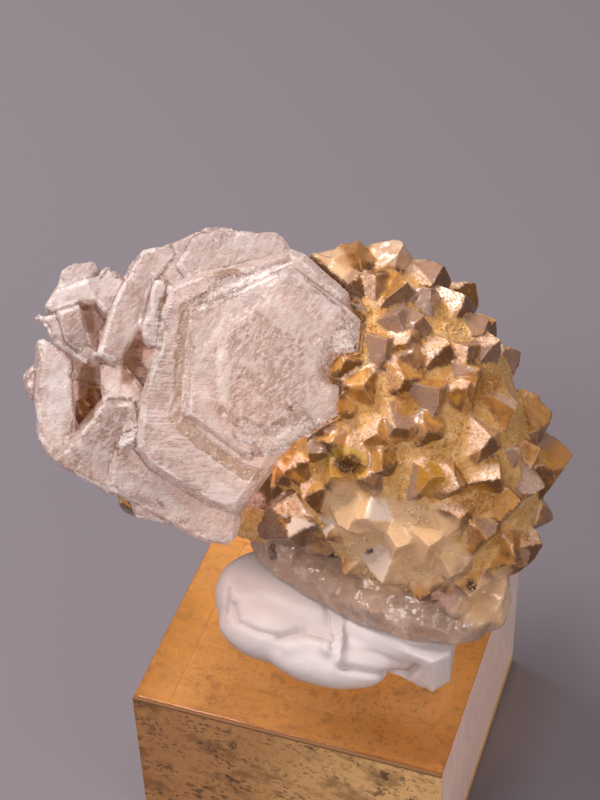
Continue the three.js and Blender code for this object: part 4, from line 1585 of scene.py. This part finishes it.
    def carve(self, grown: Grown, height: np.ndarray, way: np.ndarray, room: np.ndarray) -> None:
        """Fills the hollows with their film, wears the ridges and roughens the faces.

        Args:
            grown: the crystals.
            height: how far each point is over the film.
            way: the way out of the film at each point.
            room: how much room there is up to the calcite.
        """
        skin, ridge = grown.skin, grown.ridge
        lift = self.film_blend * np.logaddexp(0, -height / self.film_blend)
        broken = self.broken(skin.points)
        skin.points += (np.clip(lift, 0, np.maximum(room, 0)) * (1 - broken))[:, None] * way
        film = ramp(height, *self.film_edge) * (1 - broken) * (room > self.contact)
        skin.smooth(self.film_ease * film, self.film_rounds)
        hollow = np.maximum(ramp(grown.valley, *self.hollow_edge), ramp(room, self.contact_line_reach, 0.2))
        skin.smooth(self.hollow_ease * hollow * (1 - broken), self.hollow_rounds)
        wear = self.wear + self.wear_change * self.wear_lumps.at(skin.points)
        skin.smooth(ramp(ridge, self.ridge_reach, 0) * wear * (1 - film), self.wear_rounds)
        relief = self.face_height * self.face_lumps.at(skin.points) * ramp(ridge, 0.0, 0.5)
        relief += self.film_grain_height * film * self.film_grain.at(skin.points)
        chips = np.abs(self.base_chips.at(skin.points))
        relief += broken * (self.base_rough * self.base_lumps.at(skin.points) - self.base_chip * chips)
        skin.push(relief)
        patchy = ramp(self.druse_lumps.at(skin.points), *self.druse_range)
        low = ramp(FACE.seen(skin.points)[:, 1], self.druse_top, self.druse_top - self.druse_fade)
        skin.mask(self.druse.mask, film * patchy * low)

    def calcite_faces(self) -> tuple[list[Vector], list[tuple[int, ...]]]:
        """Returns the calcite's corners, in millimetres, and its faces."""
        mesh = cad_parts[self.calcite_node].data
        return [corner.co / MM for corner in mesh.vertices], [tuple(face.vertices) for face in mesh.polygons]

    def blunt(self, skin: Skin) -> None:
        """Breaks off the tips that end flat, each given by its middle, the way it points and its reach.

        Args:
            skin: the fine mesh.
        """
        own = FACE.local(skin.points)
        for middle, way, reach in self.blunted:
            beyond = np.maximum((own - np.array(middle)) @ unit(np.array(way)), 0)
            away = np.linalg.norm((own - np.array(middle))[:, :2], axis=1)
            near = ramp(away, reach, reach * self.blunt_edge)
            own -= (beyond * near)[:, None] * unit(np.array(way))
        skin.points = own @ FACE.axes() + np.array(FACE.centre)

    def straighten_base(self, skin: Skin) -> None:
        """Brings the broken stone over the putty forward to one even front.

        Args:
            skin: the fine mesh.
        """
        across, fronts = np.array(self.base_front).T
        front = np.interp(skin.points[:, 0], across, fronts)
        front += self.base_front_height * self.base_front_lumps.at(skin.points)
        behind = skin.points[:, 1] - front
        low = ramp(skin.points[:, 2], self.base_top - 0.5, self.base_top - self.base_fade)
        towards_front = skin.normals()[:, 1] < 0.1
        share = low * ramp(behind, self.base_depth, self.base_depth / 2) * (behind > 0) * towards_front
        skin.points[:, 1] -= share * behind
        near = ramp(np.abs(behind), self.base_depth + 1, self.base_depth - 1)
        skin.smooth(self.base_ease * low * near, self.base_rounds)


@dataclass
class CalciteBlades:
    """The stack of calcite blades and tablets, with growth lines, chipped rims and sugary places."""

    node: str = "calcite_crystals"
    cell_depth: int = 8
    cell_scale: float = 0.58
    sharp_crease: float = 26
    # Chipped rims, waved faces, the curved side, the softened step and the sunk channels.
    chip: float = 0.34
    chip_lumps: Lumps = Lumps(1.1, 61, 4)
    chip_range: Point2 = (0.35, 0.9)
    chip_reach: Point2 = (0.9, 0.05)
    wave: float = 0.08
    wave_lumps: Lumps = Lumps(1.8, 63, 2)
    step_ease: float = 0.9
    step_rounds: int = 15
    curve_ease: float = 0.7
    curve_reach: Point2 = (0.9, 0.2)
    curve_rounds: int = 7
    rim_ease: float = 0.25
    rim_reach: float = 0.4
    curved_range: Point2 = (-17.0, -19.5)
    crumbling_range: Point2 = (-3.0, 1.5)
    soft_steps: tuple[Patch, ...] = (Patch((-4.4, 4.4), (8.4, 10.2), 8),)
    channel_sink: float = 0.22
    # How the spots and growth lines fade and waver, and where edges are worn.
    shown_range: Point2 = (0.1, 0.5)
    spot_lumps: Lumps = Lumps(1.2, 51)
    spot_wobble: float = 0.2
    silk_edge: Point2 = (0.0, 0.5)
    striped_edge: Point2 = (-0.1, 0.35)
    sugar_edge: Point2 = (0.0, 0.35)
    hollow_edge: Point2 = (0.0, 0.25)
    crumb_edge: Point2 = (0.0, 0.3)
    line_lumps: Lumps = Lumps(7.0, 53)
    line_range: Point2 = (0.1, 0.5)
    line_share: float = 0.35
    worn_lumps: Lumps = Lumps(2.2, 57)
    worn_range: Point2 = (-0.35, 0.25)
    worn_width: float = 0.35
    # The growth zone in the middle of the terrace.
    zone: Patch = Patch((-5.0, 2.6), (5.8, 7.6), 4)
    zone_lumps: Lumps = Lumps(1.6, 69)
    zone_line: Point2 = (0.035, 0.01)
    ring_look: float = 0.5
    zone_look: float = 0.75
    # The outer blades, each silky, smoky or milky in its own way.
    outer_range: Point2 = (-13.0, -18.0)
    look_lumps: Lumps = Lumps(1.3, 67, 1)
    own_look: float = 0.75
    milk: str = "milk"
    milky_above: float = 0.12
    # Loose grains, and places of each look on the show face.
    sugar: Sprinkle = Sprinkle(
        "calcite_sugar", Grain.RHOMB, "sugar", density=4.0, sizes=(0.15, 0.42), height=0.7, tilt=60, seed=7
    )
    flakes: Sprinkle = Sprinkle(
        "calcite_flakes", Grain.RHOMB, "flakes", density=1.6, sizes=(0.35, 1.0), height=0.45, tilt=75, seed=9
    )
    striped: tuple[Patch, ...] = (
        Patch((-18.3, 3.0), (3.2, 10.5), -6), Patch((-13.6, -8.4), (7.4, 3.6), -40),
    )
    sugary: tuple[Patch, ...] = (
        Patch((-2.4, -4.6), (5.0, 1.7), 24), Patch((-6.2, -4.4), (2.4, 1.6), -40),
        Patch((5.0, 6.0), (2.2, 4.6), -15), Patch((-9.3, 14.0), (3.6, 1.2), 20),
        Patch((-22.4, 16.4), (1.2, 1.2)),
    )
    crumbs: tuple[Patch, ...] = (
        Patch((-21.8, 16.4), (1.6, 1.4)), Patch((2.2, -3.2), (2.6, 0.8), 35),
        Patch((-2.6, -6.4), (3.4, 0.7), 18), Patch((-6.4, -4.4), (1.4, 1.2)), Patch((-9.6, 21.2), (2.6, 0.5)),
        Patch((6.6, 8.4), (0.8, 2.4)), Patch((-32.6, 10.6), (1.2, 0.8)), Patch((-4.2, -15.2), (0.9, 1.2)),
    )
    channels: tuple[Stroke, ...] = (
        Stroke(((-14.3, 11.6), (-14.9, 6.9), (-15.3, 0.6), (-15.5, -2.2)), 0.62),
        Stroke(((-15.4, -2.3), (-12.1, -5.5), (-6.9, -9.2), (-4.6, -9.6)), 0.95),
        Stroke(((-14.3, 11.6), (-13.2, 12.6), (-7.5, 15.2), (-1.3, 17.4)), 0.32),
    )
    star: tuple[Stroke, ...] = (
        Stroke(((-1.6, -0.4), (-1.0, -1.3)), 0.16), Stroke(((-1.7, -1.2), (-0.8, -0.9)), 0.14),
    )
    # Silky places, painted with sheen.
    sheen_patches: tuple[Patch, ...] = (
        Patch((-17.2, 16.0), (4.4, 1.3), 52), Patch((-20.6, 8.6), (4.2, 1.2), 62),
        Patch((-30.2, 0.8), (1.8, 6.6)), Patch((-26.3, 14.6), (3.0, 1.6), -10),
        Patch((-7.2, 19.8), (4.0, 1.0)), Patch((-5.0, 15.2), (5.0, 1.8), 22),
        Patch((-10.0, -11.4), (5.0, 1.6), -32), Patch((2.6, 12.2), (3.4, 1.4), -52),
        Patch((-29.6, 11.6), (1.4, 1.0)), Patch((-9.6, 3.2), (1.3, 5.4)), Patch((-2.0, -5.0), (4.4, 1.3), 26),
        Patch((-24.0, -8.4), (5.0, 2.2), -38), Patch((-17.0, -12.6), (4.4, 1.2), -32),
    )
    shades: tuple[Patch, ...] = (
        Patch((-23.0, -5.2), (3.0, 5.4), 10), Patch((-23.0, 2.2), (2.0, 2.8)),
        Patch((-4.0, 3.4), (3.6, 4.2), 10), Patch((-26.6, -8.6), (3.4, 2.2), -30),
        Patch((-17.4, 8.0), (0.9, 5.0)), Patch((-12.6, 12.0), (1.6, 2.0)),
    )
    # Hollows between the blades, painted with the shaded brown of the quartz behind.
    shaded_hollows: tuple[Patch, ...] = (
        Patch((-26.5, 10.2), (0.9, 2.0), 12), Patch((-21.0, 4.9), (1.3, 3.4), -14),
        Patch((-26.6, 1.2), (1.4, 4.4)), Patch((-9.4, 15.9), (2.2, 0.5), 12),
        Patch((-17.2, 12.2), (0.35, 2.0), -14), Patch((-23.0, -6.4), (0.25, 1.6), 4),
        Patch((-17.4, -13.0), (0.9, 0.25), -45),
    )

    def build(self, clear: Material, milky: Material) -> Piece:
        """Makes the blades and dresses them.

        Args:
            clear: their finish.
            milky: the finish of their rims and of what is frosted.

        Returns:
            The piece.
        """
        grown = Grown("calcite_blades", self.node, self.cell_depth, self.cell_scale)
        piece, skin = grown.piece, grown.skin
        self.mark(grown)
        self.carve(skin, grown.ridge)
        skin.keep_inside()
        skin.finish(self.sharp_crease)
        dress(piece, clear, Slot.CALCITE, self.node)
        piece.data.materials.append(milky)
        piece.data.polygons.foreach_set("material_index", self.milky_faces(skin).astype(np.int32))
        self.sugar.build(piece, milky, Slot.CALCITE)
        self.flakes.build(piece, milky, Slot.CALCITE)
        return piece

    def milky_faces(self, skin: Skin) -> np.ndarray:
        """Returns which faces of the fine mesh are milky: mostly those whose first corner is frosted.

        Args:
            skin: the fine mesh.

        Returns:
            For each face, whether it is milky.
        """
        values = np.empty(len(skin.points), np.float32)
        skin.mesh.attributes[self.milk].data.foreach_get("value", values)
        corners = np.empty(len(skin.mesh.loops), np.int32)
        skin.mesh.loops.foreach_get("vertex_index", corners)
        starts = np.empty(len(skin.mesh.polygons), np.int32)
        skin.mesh.polygons.foreach_get("loop_start", starts)
        return values[corners[starts]] > 0.5

    def mark(self, grown: Grown) -> None:
        """Keeps with each point the values that its colours and growth lines are mixed from.

        Args:
            grown: the blades.
        """
        skin = grown.skin
        seen = FACE.seen(skin.points)
        facing = skin.facing()
        shown = ramp(facing, *self.shown_range)
        wobble = self.spot_wobble * self.spot_lumps.at(skin.points)
        ridge, valley = self.worn_edges(skin.points, seen, grown.ridge, grown.valley)
        skin.store("creases", ridge, valley, self.channel_depth(seen) * shown)
        lines = ramp(deepest(self.striped, seen) + wobble, *self.striped_edge) * shown
        everywhere = self.line_share * ramp(self.line_lumps.at(skin.points), *self.line_range)
        lines = np.maximum(lines, everywhere)
        sugar = ramp(deepest(self.sugary, seen) + 1.5 * wobble, *self.sugar_edge) * shown
        wavy = 0.6 * wobble
        star = [ramp(line.distance(seen) + wavy, line.width * 1.4, line.width * 0.6) for line in self.star]
        skin.store("marks", lines, sugar, np.max(star, axis=0) * shown)
        own = self.look_lumps.at(grown.facets.middles)[grown.face]
        outer = ramp(seen[:, 0], *self.outer_range)
        # Painted sheen on silky places and on some outer blades, and the smoky places.
        silk_sheen, shade = self.zoned(skin.points, seen, wobble, shown)
        silk_sheen = np.maximum(silk_sheen, self.own_look * ramp(own, 0.05, 0.5) * outer)
        shade = np.maximum(shade, 0.6 * self.own_look * ramp(own, -0.05, -0.5) * outer)
        # Painted shade in the hollows between the blades.
        hollow = ramp(deepest(self.shaded_hollows, seen) + wavy, *self.hollow_edge) * (facing > 0)
        skin.store("planes", silk_sheen, shade, hollow)
        skin.mask(self.sugar.mask, sugar)
        skin.mask(self.milk, np.maximum(ramp(ridge, 0.3, 0.1), (own > self.milky_above) * outer))
        crumbly = ramp(deepest(self.crumbs, seen) + wobble, *self.crumb_edge) * (facing > -0.2)
        skin.mask(self.flakes.mask, crumbly)

    def worn_edges(
        self, points: np.ndarray, seen: np.ndarray, ridge: np.ndarray, valley: np.ndarray
    ) -> tuple[np.ndarray, np.ndarray]:
        """Takes the look of an edge from worn and soft edges, and gives it to the channels' lips.

        Args:
            points: the points, in millimetres.
            seen: how they look on the face.
            ridge: how far each is from a ridge.
            valley: how far each is from a valley.

        Returns:
            The changed distances from the ridges and from the valleys.
        """
        worn = ramp(self.worn_lumps.at(points), *self.worn_range)
        soft = ramp(deepest(self.soft_steps, seen), -0.1, 0.05) * NEVER
        lip = np.min([np.abs(line.distance(seen) - line.width) for line in self.channels], axis=0)
        return np.minimum(ridge + self.worn_width * worn + soft, lip + 0.06 + 0.1 * worn), valley + soft

    def zoned(
        self, points: np.ndarray, seen: np.ndarray, wobble: np.ndarray, shown: np.ndarray
    ) -> tuple[np.ndarray, np.ndarray]:
        """Works out the painted sheen and the shaded places, with the growth zone in the middle of the
        terrace.

        Args:
            points: the points, in millimetres.
            seen: how they look on the face.
            wobble: how far the places' edges are drawn out of shape.
            shown: how much each point faces the front.

        Returns:
            How much painted sheen and how shaded each point is, from 0 to 1.
        """
        kinds = (self.sheen_patches, self.shades)
        silk_sheen, shade = (ramp(deepest(spots, seen) + wobble, *self.silk_edge) * shown for spots in kinds)
        zone = self.zone.six_sided_depth(seen) + 0.2 * wobble
        # A painted highlight along the zone's edge, and a paler ring round it.
        line = ramp(np.abs(zone), *self.zone_line) * ramp(self.zone_lumps.at(points), -0.3, 0.2) * shown
        ring = ramp(zone, -0.42, -0.34) * ramp(zone, -0.02, -0.06) * shown
        silk_sheen = np.maximum(silk_sheen, np.maximum(0.95 * line, self.ring_look * ring))
        return silk_sheen, np.maximum(shade, self.zone_look * ramp(zone, 0.0, 0.04) * shown)

    def carve(self, skin: Skin, ridge: np.ndarray) -> None:
        """Chips the rims and waves the faces.

        Args:
            skin: the fine mesh.
            ridge: how far each point is from a ridge.
        """
        seen = FACE.seen(skin.points)
        chips = ramp(self.chip_lumps.at(skin.points), *self.chip_range) * ramp(ridge, *self.chip_reach)
        chips *= 1 + ramp(seen[:, 0], *self.crumbling_range)
        waves = self.wave * self.wave_lumps.at(skin.points)
        curved = ramp(seen[:, 0], *self.curved_range)
        soft = ramp(deepest(self.soft_steps, seen), -0.15, 0.05) * (skin.facing() > 0)
        skin.smooth(self.step_ease * soft, self.step_rounds)
        skin.smooth(self.curve_ease * curved * ramp(ridge, *self.curve_reach), self.curve_rounds)
        skin.smooth(ramp(ridge, self.rim_reach, 0) * self.rim_ease, 1)
        shown = ramp(skin.facing(), 0.2, 0.6)
        sunk = self.channel_sink * self.channel_depth(seen) * shown
        skin.push(waves * (1 + curved) - self.chip * chips - sunk)

    def channel_depth(self, seen: np.ndarray) -> np.ndarray:
        """Returns how far points lie in the channels beside the terrace, from 0 to 1."""
        depths = [ramp(line.distance(seen), line.width * 1.08, line.width * 0.88) for line in self.channels]
        return np.max(depths, axis=0)


@dataclass
class PuttyRoll:
    """The putty that holds the stone: a rolled lip, a pressed slab with a squared end, and folds."""

    node: str = "mounting_putty"
    voxel: float = 0.30
    sharp_crease: float = 50
    ease: float = 0.6
    rounds: int = 14
    cut_crisp: float = 0.5
    wave: float = 0.07
    wave_lumps: Lumps = Lumps(2.6, 71)
    grime_lumps: Lumps = Lumps(4.0, 73)
    cut_end: Point2 = (11.0, 13.0)
    folds: tuple[Stroke, ...] = (
        Stroke(((4.4, -25.6), (4.6, -29.0), (4.9, -32.6)), 0.6, 0.8),
        Stroke(((3.3, -25.6), (3.6, -28.6), (4.0, -31.0)), 0.4, -0.5),
        Stroke(((5.7, -26.0), (5.9, -29.6)), 0.4, -0.25),
        Stroke(((-2.6, -29.7), (-0.1, -28.7), (2.4, -29.1), (4.2, -30.0)), 0.45, -0.8),
        Stroke(((-1.5, -30.9), (1.0, -30.2), (3.2, -31.0)), 0.9, 0.5),
        Stroke(((5.5, -33.4), (8.6, -34.0), (11.1, -34.4), (13.2, -34.4), (14.2, -33.6)), 0.5, -0.9),
        Stroke(((-8.4, -25.6), (-7.9, -27.7), (-5.2, -29.0), (-2.9, -29.4)), 0.4, -0.45),
        Stroke(((6.0, -31.0), (9.5, -31.6), (12.5, -33.0)), 0.3, -0.2),
        Stroke(((-9.0, -23.4), (-9.3, -26.4)), 0.3, -0.3),
    )

    def build(self, material: Material) -> Piece:
        """Makes the putty and dresses it.

        Args:
            material: its finish.

        Returns:
            The piece.
        """
        piece = new_piece("putty_roll", merged_copy(self.node))
        remesh = piece.modifiers.new("even faces", "REMESH")
        remesh.mode = "VOXEL"
        remesh.voxel_size = self.voxel * MM
        bake_modifiers(piece)
        skin = Skin(piece)
        skin.smooth(self.ease - self.cut_crisp * ramp(skin.points[:, 0], *self.cut_end), self.rounds)
        seen = FACE.seen(skin.points)
        shown = ramp(skin.facing(), -0.2, 0.2)
        relief = np.sum([fold.relief(seen) for fold in self.folds], axis=0) * shown
        sunk_folds = [fold for fold in self.folds if fold.rise < 0]
        crease = np.max([fold.relief(seen) / fold.rise for fold in sunk_folds], axis=0)
        skin.push(relief + self.wave * self.wave_lumps.at(skin.points))
        skin.keep_inside()
        skin.store("creases", crease * shown, ramp(self.grime_lumps.at(skin.points), 0.0, 0.6))
        skin.finish(self.sharp_crease)
        dress(piece, material, Slot.PUTTY, self.node)
        return piece


@dataclass
class DisplayBlock:
    """The clear block, sawn on its right, and the brown card that is glued under it and up its front."""

    block_node: str = "acrylic_block"
    backing_node: str = "brown_backing"
    edge: float = 0.18
    card_edge: float = 0.1
    card: float = 0.5
    glue: float = 0.04
    bevel_steps: int = 3
    flat_share: float = 0.999
    side_share: float = 0.9

    def prism(self, name: str, profile: Sequence[Point2], ends: Point2, eased: float) -> Piece:
        """Returns a bar of one profile with its edges eased.

        Args:
            name: the piece's name.
            profile: the profile's corners as (y, z), seen from the right, anticlockwise.
            ends: where the bar starts and ends along x.
            eased: how wide the eased edges are.

        Returns:
            The bar.
        """
        solid = bmesh.new()
        rings = [[solid.verts.new((x * MM, y * MM, z * MM)) for y, z in profile] for x in ends]
        solid.faces.new(reversed(rings[0]))
        solid.faces.new(rings[1])
        for i in range(len(profile)):
            j = (i + 1) % len(profile)
            solid.faces.new([rings[0][i], rings[0][j], rings[1][j], rings[1][i]])
        bmesh.ops.recalc_face_normals(solid, faces=solid.faces)
        mesh = bpy.data.meshes.new(name)
        solid.to_mesh(mesh)
        solid.free()
        piece = new_piece(name, mesh)
        bevel = piece.modifiers.new("eased edges", "BEVEL")
        bevel.width = eased * MM
        bevel.segments = self.bevel_steps
        bake_modifiers(piece)
        round_ones = [max(map(abs, polygon.normal)) < self.flat_share for polygon in piece.data.polygons]
        piece.data.polygons.foreach_set("use_smooth", round_ones)
        return piece

    def build(self, polished: Material, sawn: Material, card: Material) -> list[Piece]:
        """Makes both pieces and dresses them.

        Args:
            polished: the block's finish.
            sawn: the finish of its right side.
            card: the backing's finish.

        Returns:
            The two pieces.
        """
        (left, _, under), (right, back, top) = (np.array(corner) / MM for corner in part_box(self.block_node))
        _, front, floor = np.array(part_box(self.backing_node)[0]) / MM
        inner = front + self.card - self.glue
        box = ((inner, under), (back, under), (back, top), (inner, top))
        block = self.prism("display_block", box, (left, right), self.edge)
        dress(block, polished, Slot.ACRYLIC, self.block_node)
        block.data.materials.append(sawn)
        sides = [int(polygon.normal.x > self.side_share) for polygon in block.data.polygons]
        block.data.polygons.foreach_set("material_index", sides)
        bed, sheet = under + self.glue, front + self.card
        bend = ((front, floor), (back, floor), (back, bed), (sheet, bed), (sheet, top), (front, top))
        backing = self.prism("backing_card", bend, (left, right), self.card_edge)
        dress(backing, card, Slot.BACKING, self.backing_node)
        return [block, backing]


@dataclass(frozen=True)
class SoftBox:
    """A square soft light: where it stands from the specimen, how large it is and how bright."""

    name: str
    way: Point3
    distance: float
    size: float
    power: float
    tint: Colour = (1.0, 1.0, 1.0)

    def place(self, target: Vector) -> None:
        """Puts the light in the scene.

        Args:
            target: what it shines at.
        """
        lamp = bpy.data.lights.new(self.name, "AREA")
        lamp.shape = "SQUARE"
        lamp.size = self.size
        lamp.energy = self.power
        lamp.color = self.tint
        holder = bpy.data.objects.new(self.name, lamp)
        bpy.context.scene.collection.objects.link(holder)
        away = Vector(self.way).normalized()
        holder.location = target + away * self.distance
        holder.rotation_euler = away.to_track_quat("Z", "Y").to_euler()


@dataclass
class Studio:
    """The pale floor, the soft lights and the camera."""

    floor_colour: Colour = (0.22, 0.205, 0.235)
    floor_side: float = 6.0
    floor_roughness: float = 0.8
    sky_colour: Colour = (0.97, 0.88, 0.87)
    sky_strength: float = 0.26
    lens: float = 85.0
    sensor: float = 36.0
    clip_start: float = 0.01
    target: Point3 = (0.0, 0.0, 0.045)
    lights: tuple[SoftBox, ...] = field(
        default_factory=lambda: (
            SoftBox("window", (-0.50, 0.08, 0.86), 0.62, 0.26, 3.5, (1.0, 0.91, 0.875)),
            SoftBox("front fill", (-0.20, -0.64, 0.74), 0.9, 0.24, 2.5, (1.0, 0.89, 0.85)),
            SoftBox("side fill", (0.90, -0.45, 0.45), 0.9, 0.5, 2.1, (1.0, 0.88, 0.83)),
        )
    )

    def build(self) -> None:
        """Makes the floor, the lights and the camera."""
        scene = bpy.context.scene
        scene.view_settings.view_transform = "Standard"
        bpy.ops.mesh.primitive_plane_add(size=self.floor_side)
        floor = bpy.context.active_object
        floor.name = "floor"
        material, graph, surface = new_material("plain floor")
        graph.fix(surface, {"Base Color": self.floor_colour, "Roughness": self.floor_roughness})
        floor.data.materials.append(material)
        world = bpy.data.worlds.new("soft sky")
        world.use_nodes = True
        background = world.node_tree.nodes["Background"]
        Graph(world.node_tree).fix(background, {"Color": self.sky_colour, "Strength": self.sky_strength})
        scene.world = world
        for light in self.lights:
            light.place(Vector(self.target))
        camera = bpy.data.cameras.new("camera")
        camera.lens = self.lens
        camera.sensor_width = self.sensor
        camera.clip_start = self.clip_start
        holder = bpy.data.objects.new("camera", camera)
        scene.collection.objects.link(holder)
        holder.matrix_world = FACE.camera_matrix()
        scene.camera = holder


def main() -> None:
    """Builds the studio and the specimen."""
    logging.basicConfig(level=logging.INFO, format="%(message)s")
    effects = Effects()
    Studio().build()
    QuartzCluster().build(QuartzFinish().build(effects))
    CalciteBlades().build(CalciteFinish().build(effects), MILKY.build(effects))
    PuttyRoll().build(PuttyFinish().build(effects))
    DisplayBlock().build(AcrylicFinish().build(), SAWN.build(), BackingFinish().build(effects))


if __name__ == "__main__":
    main()
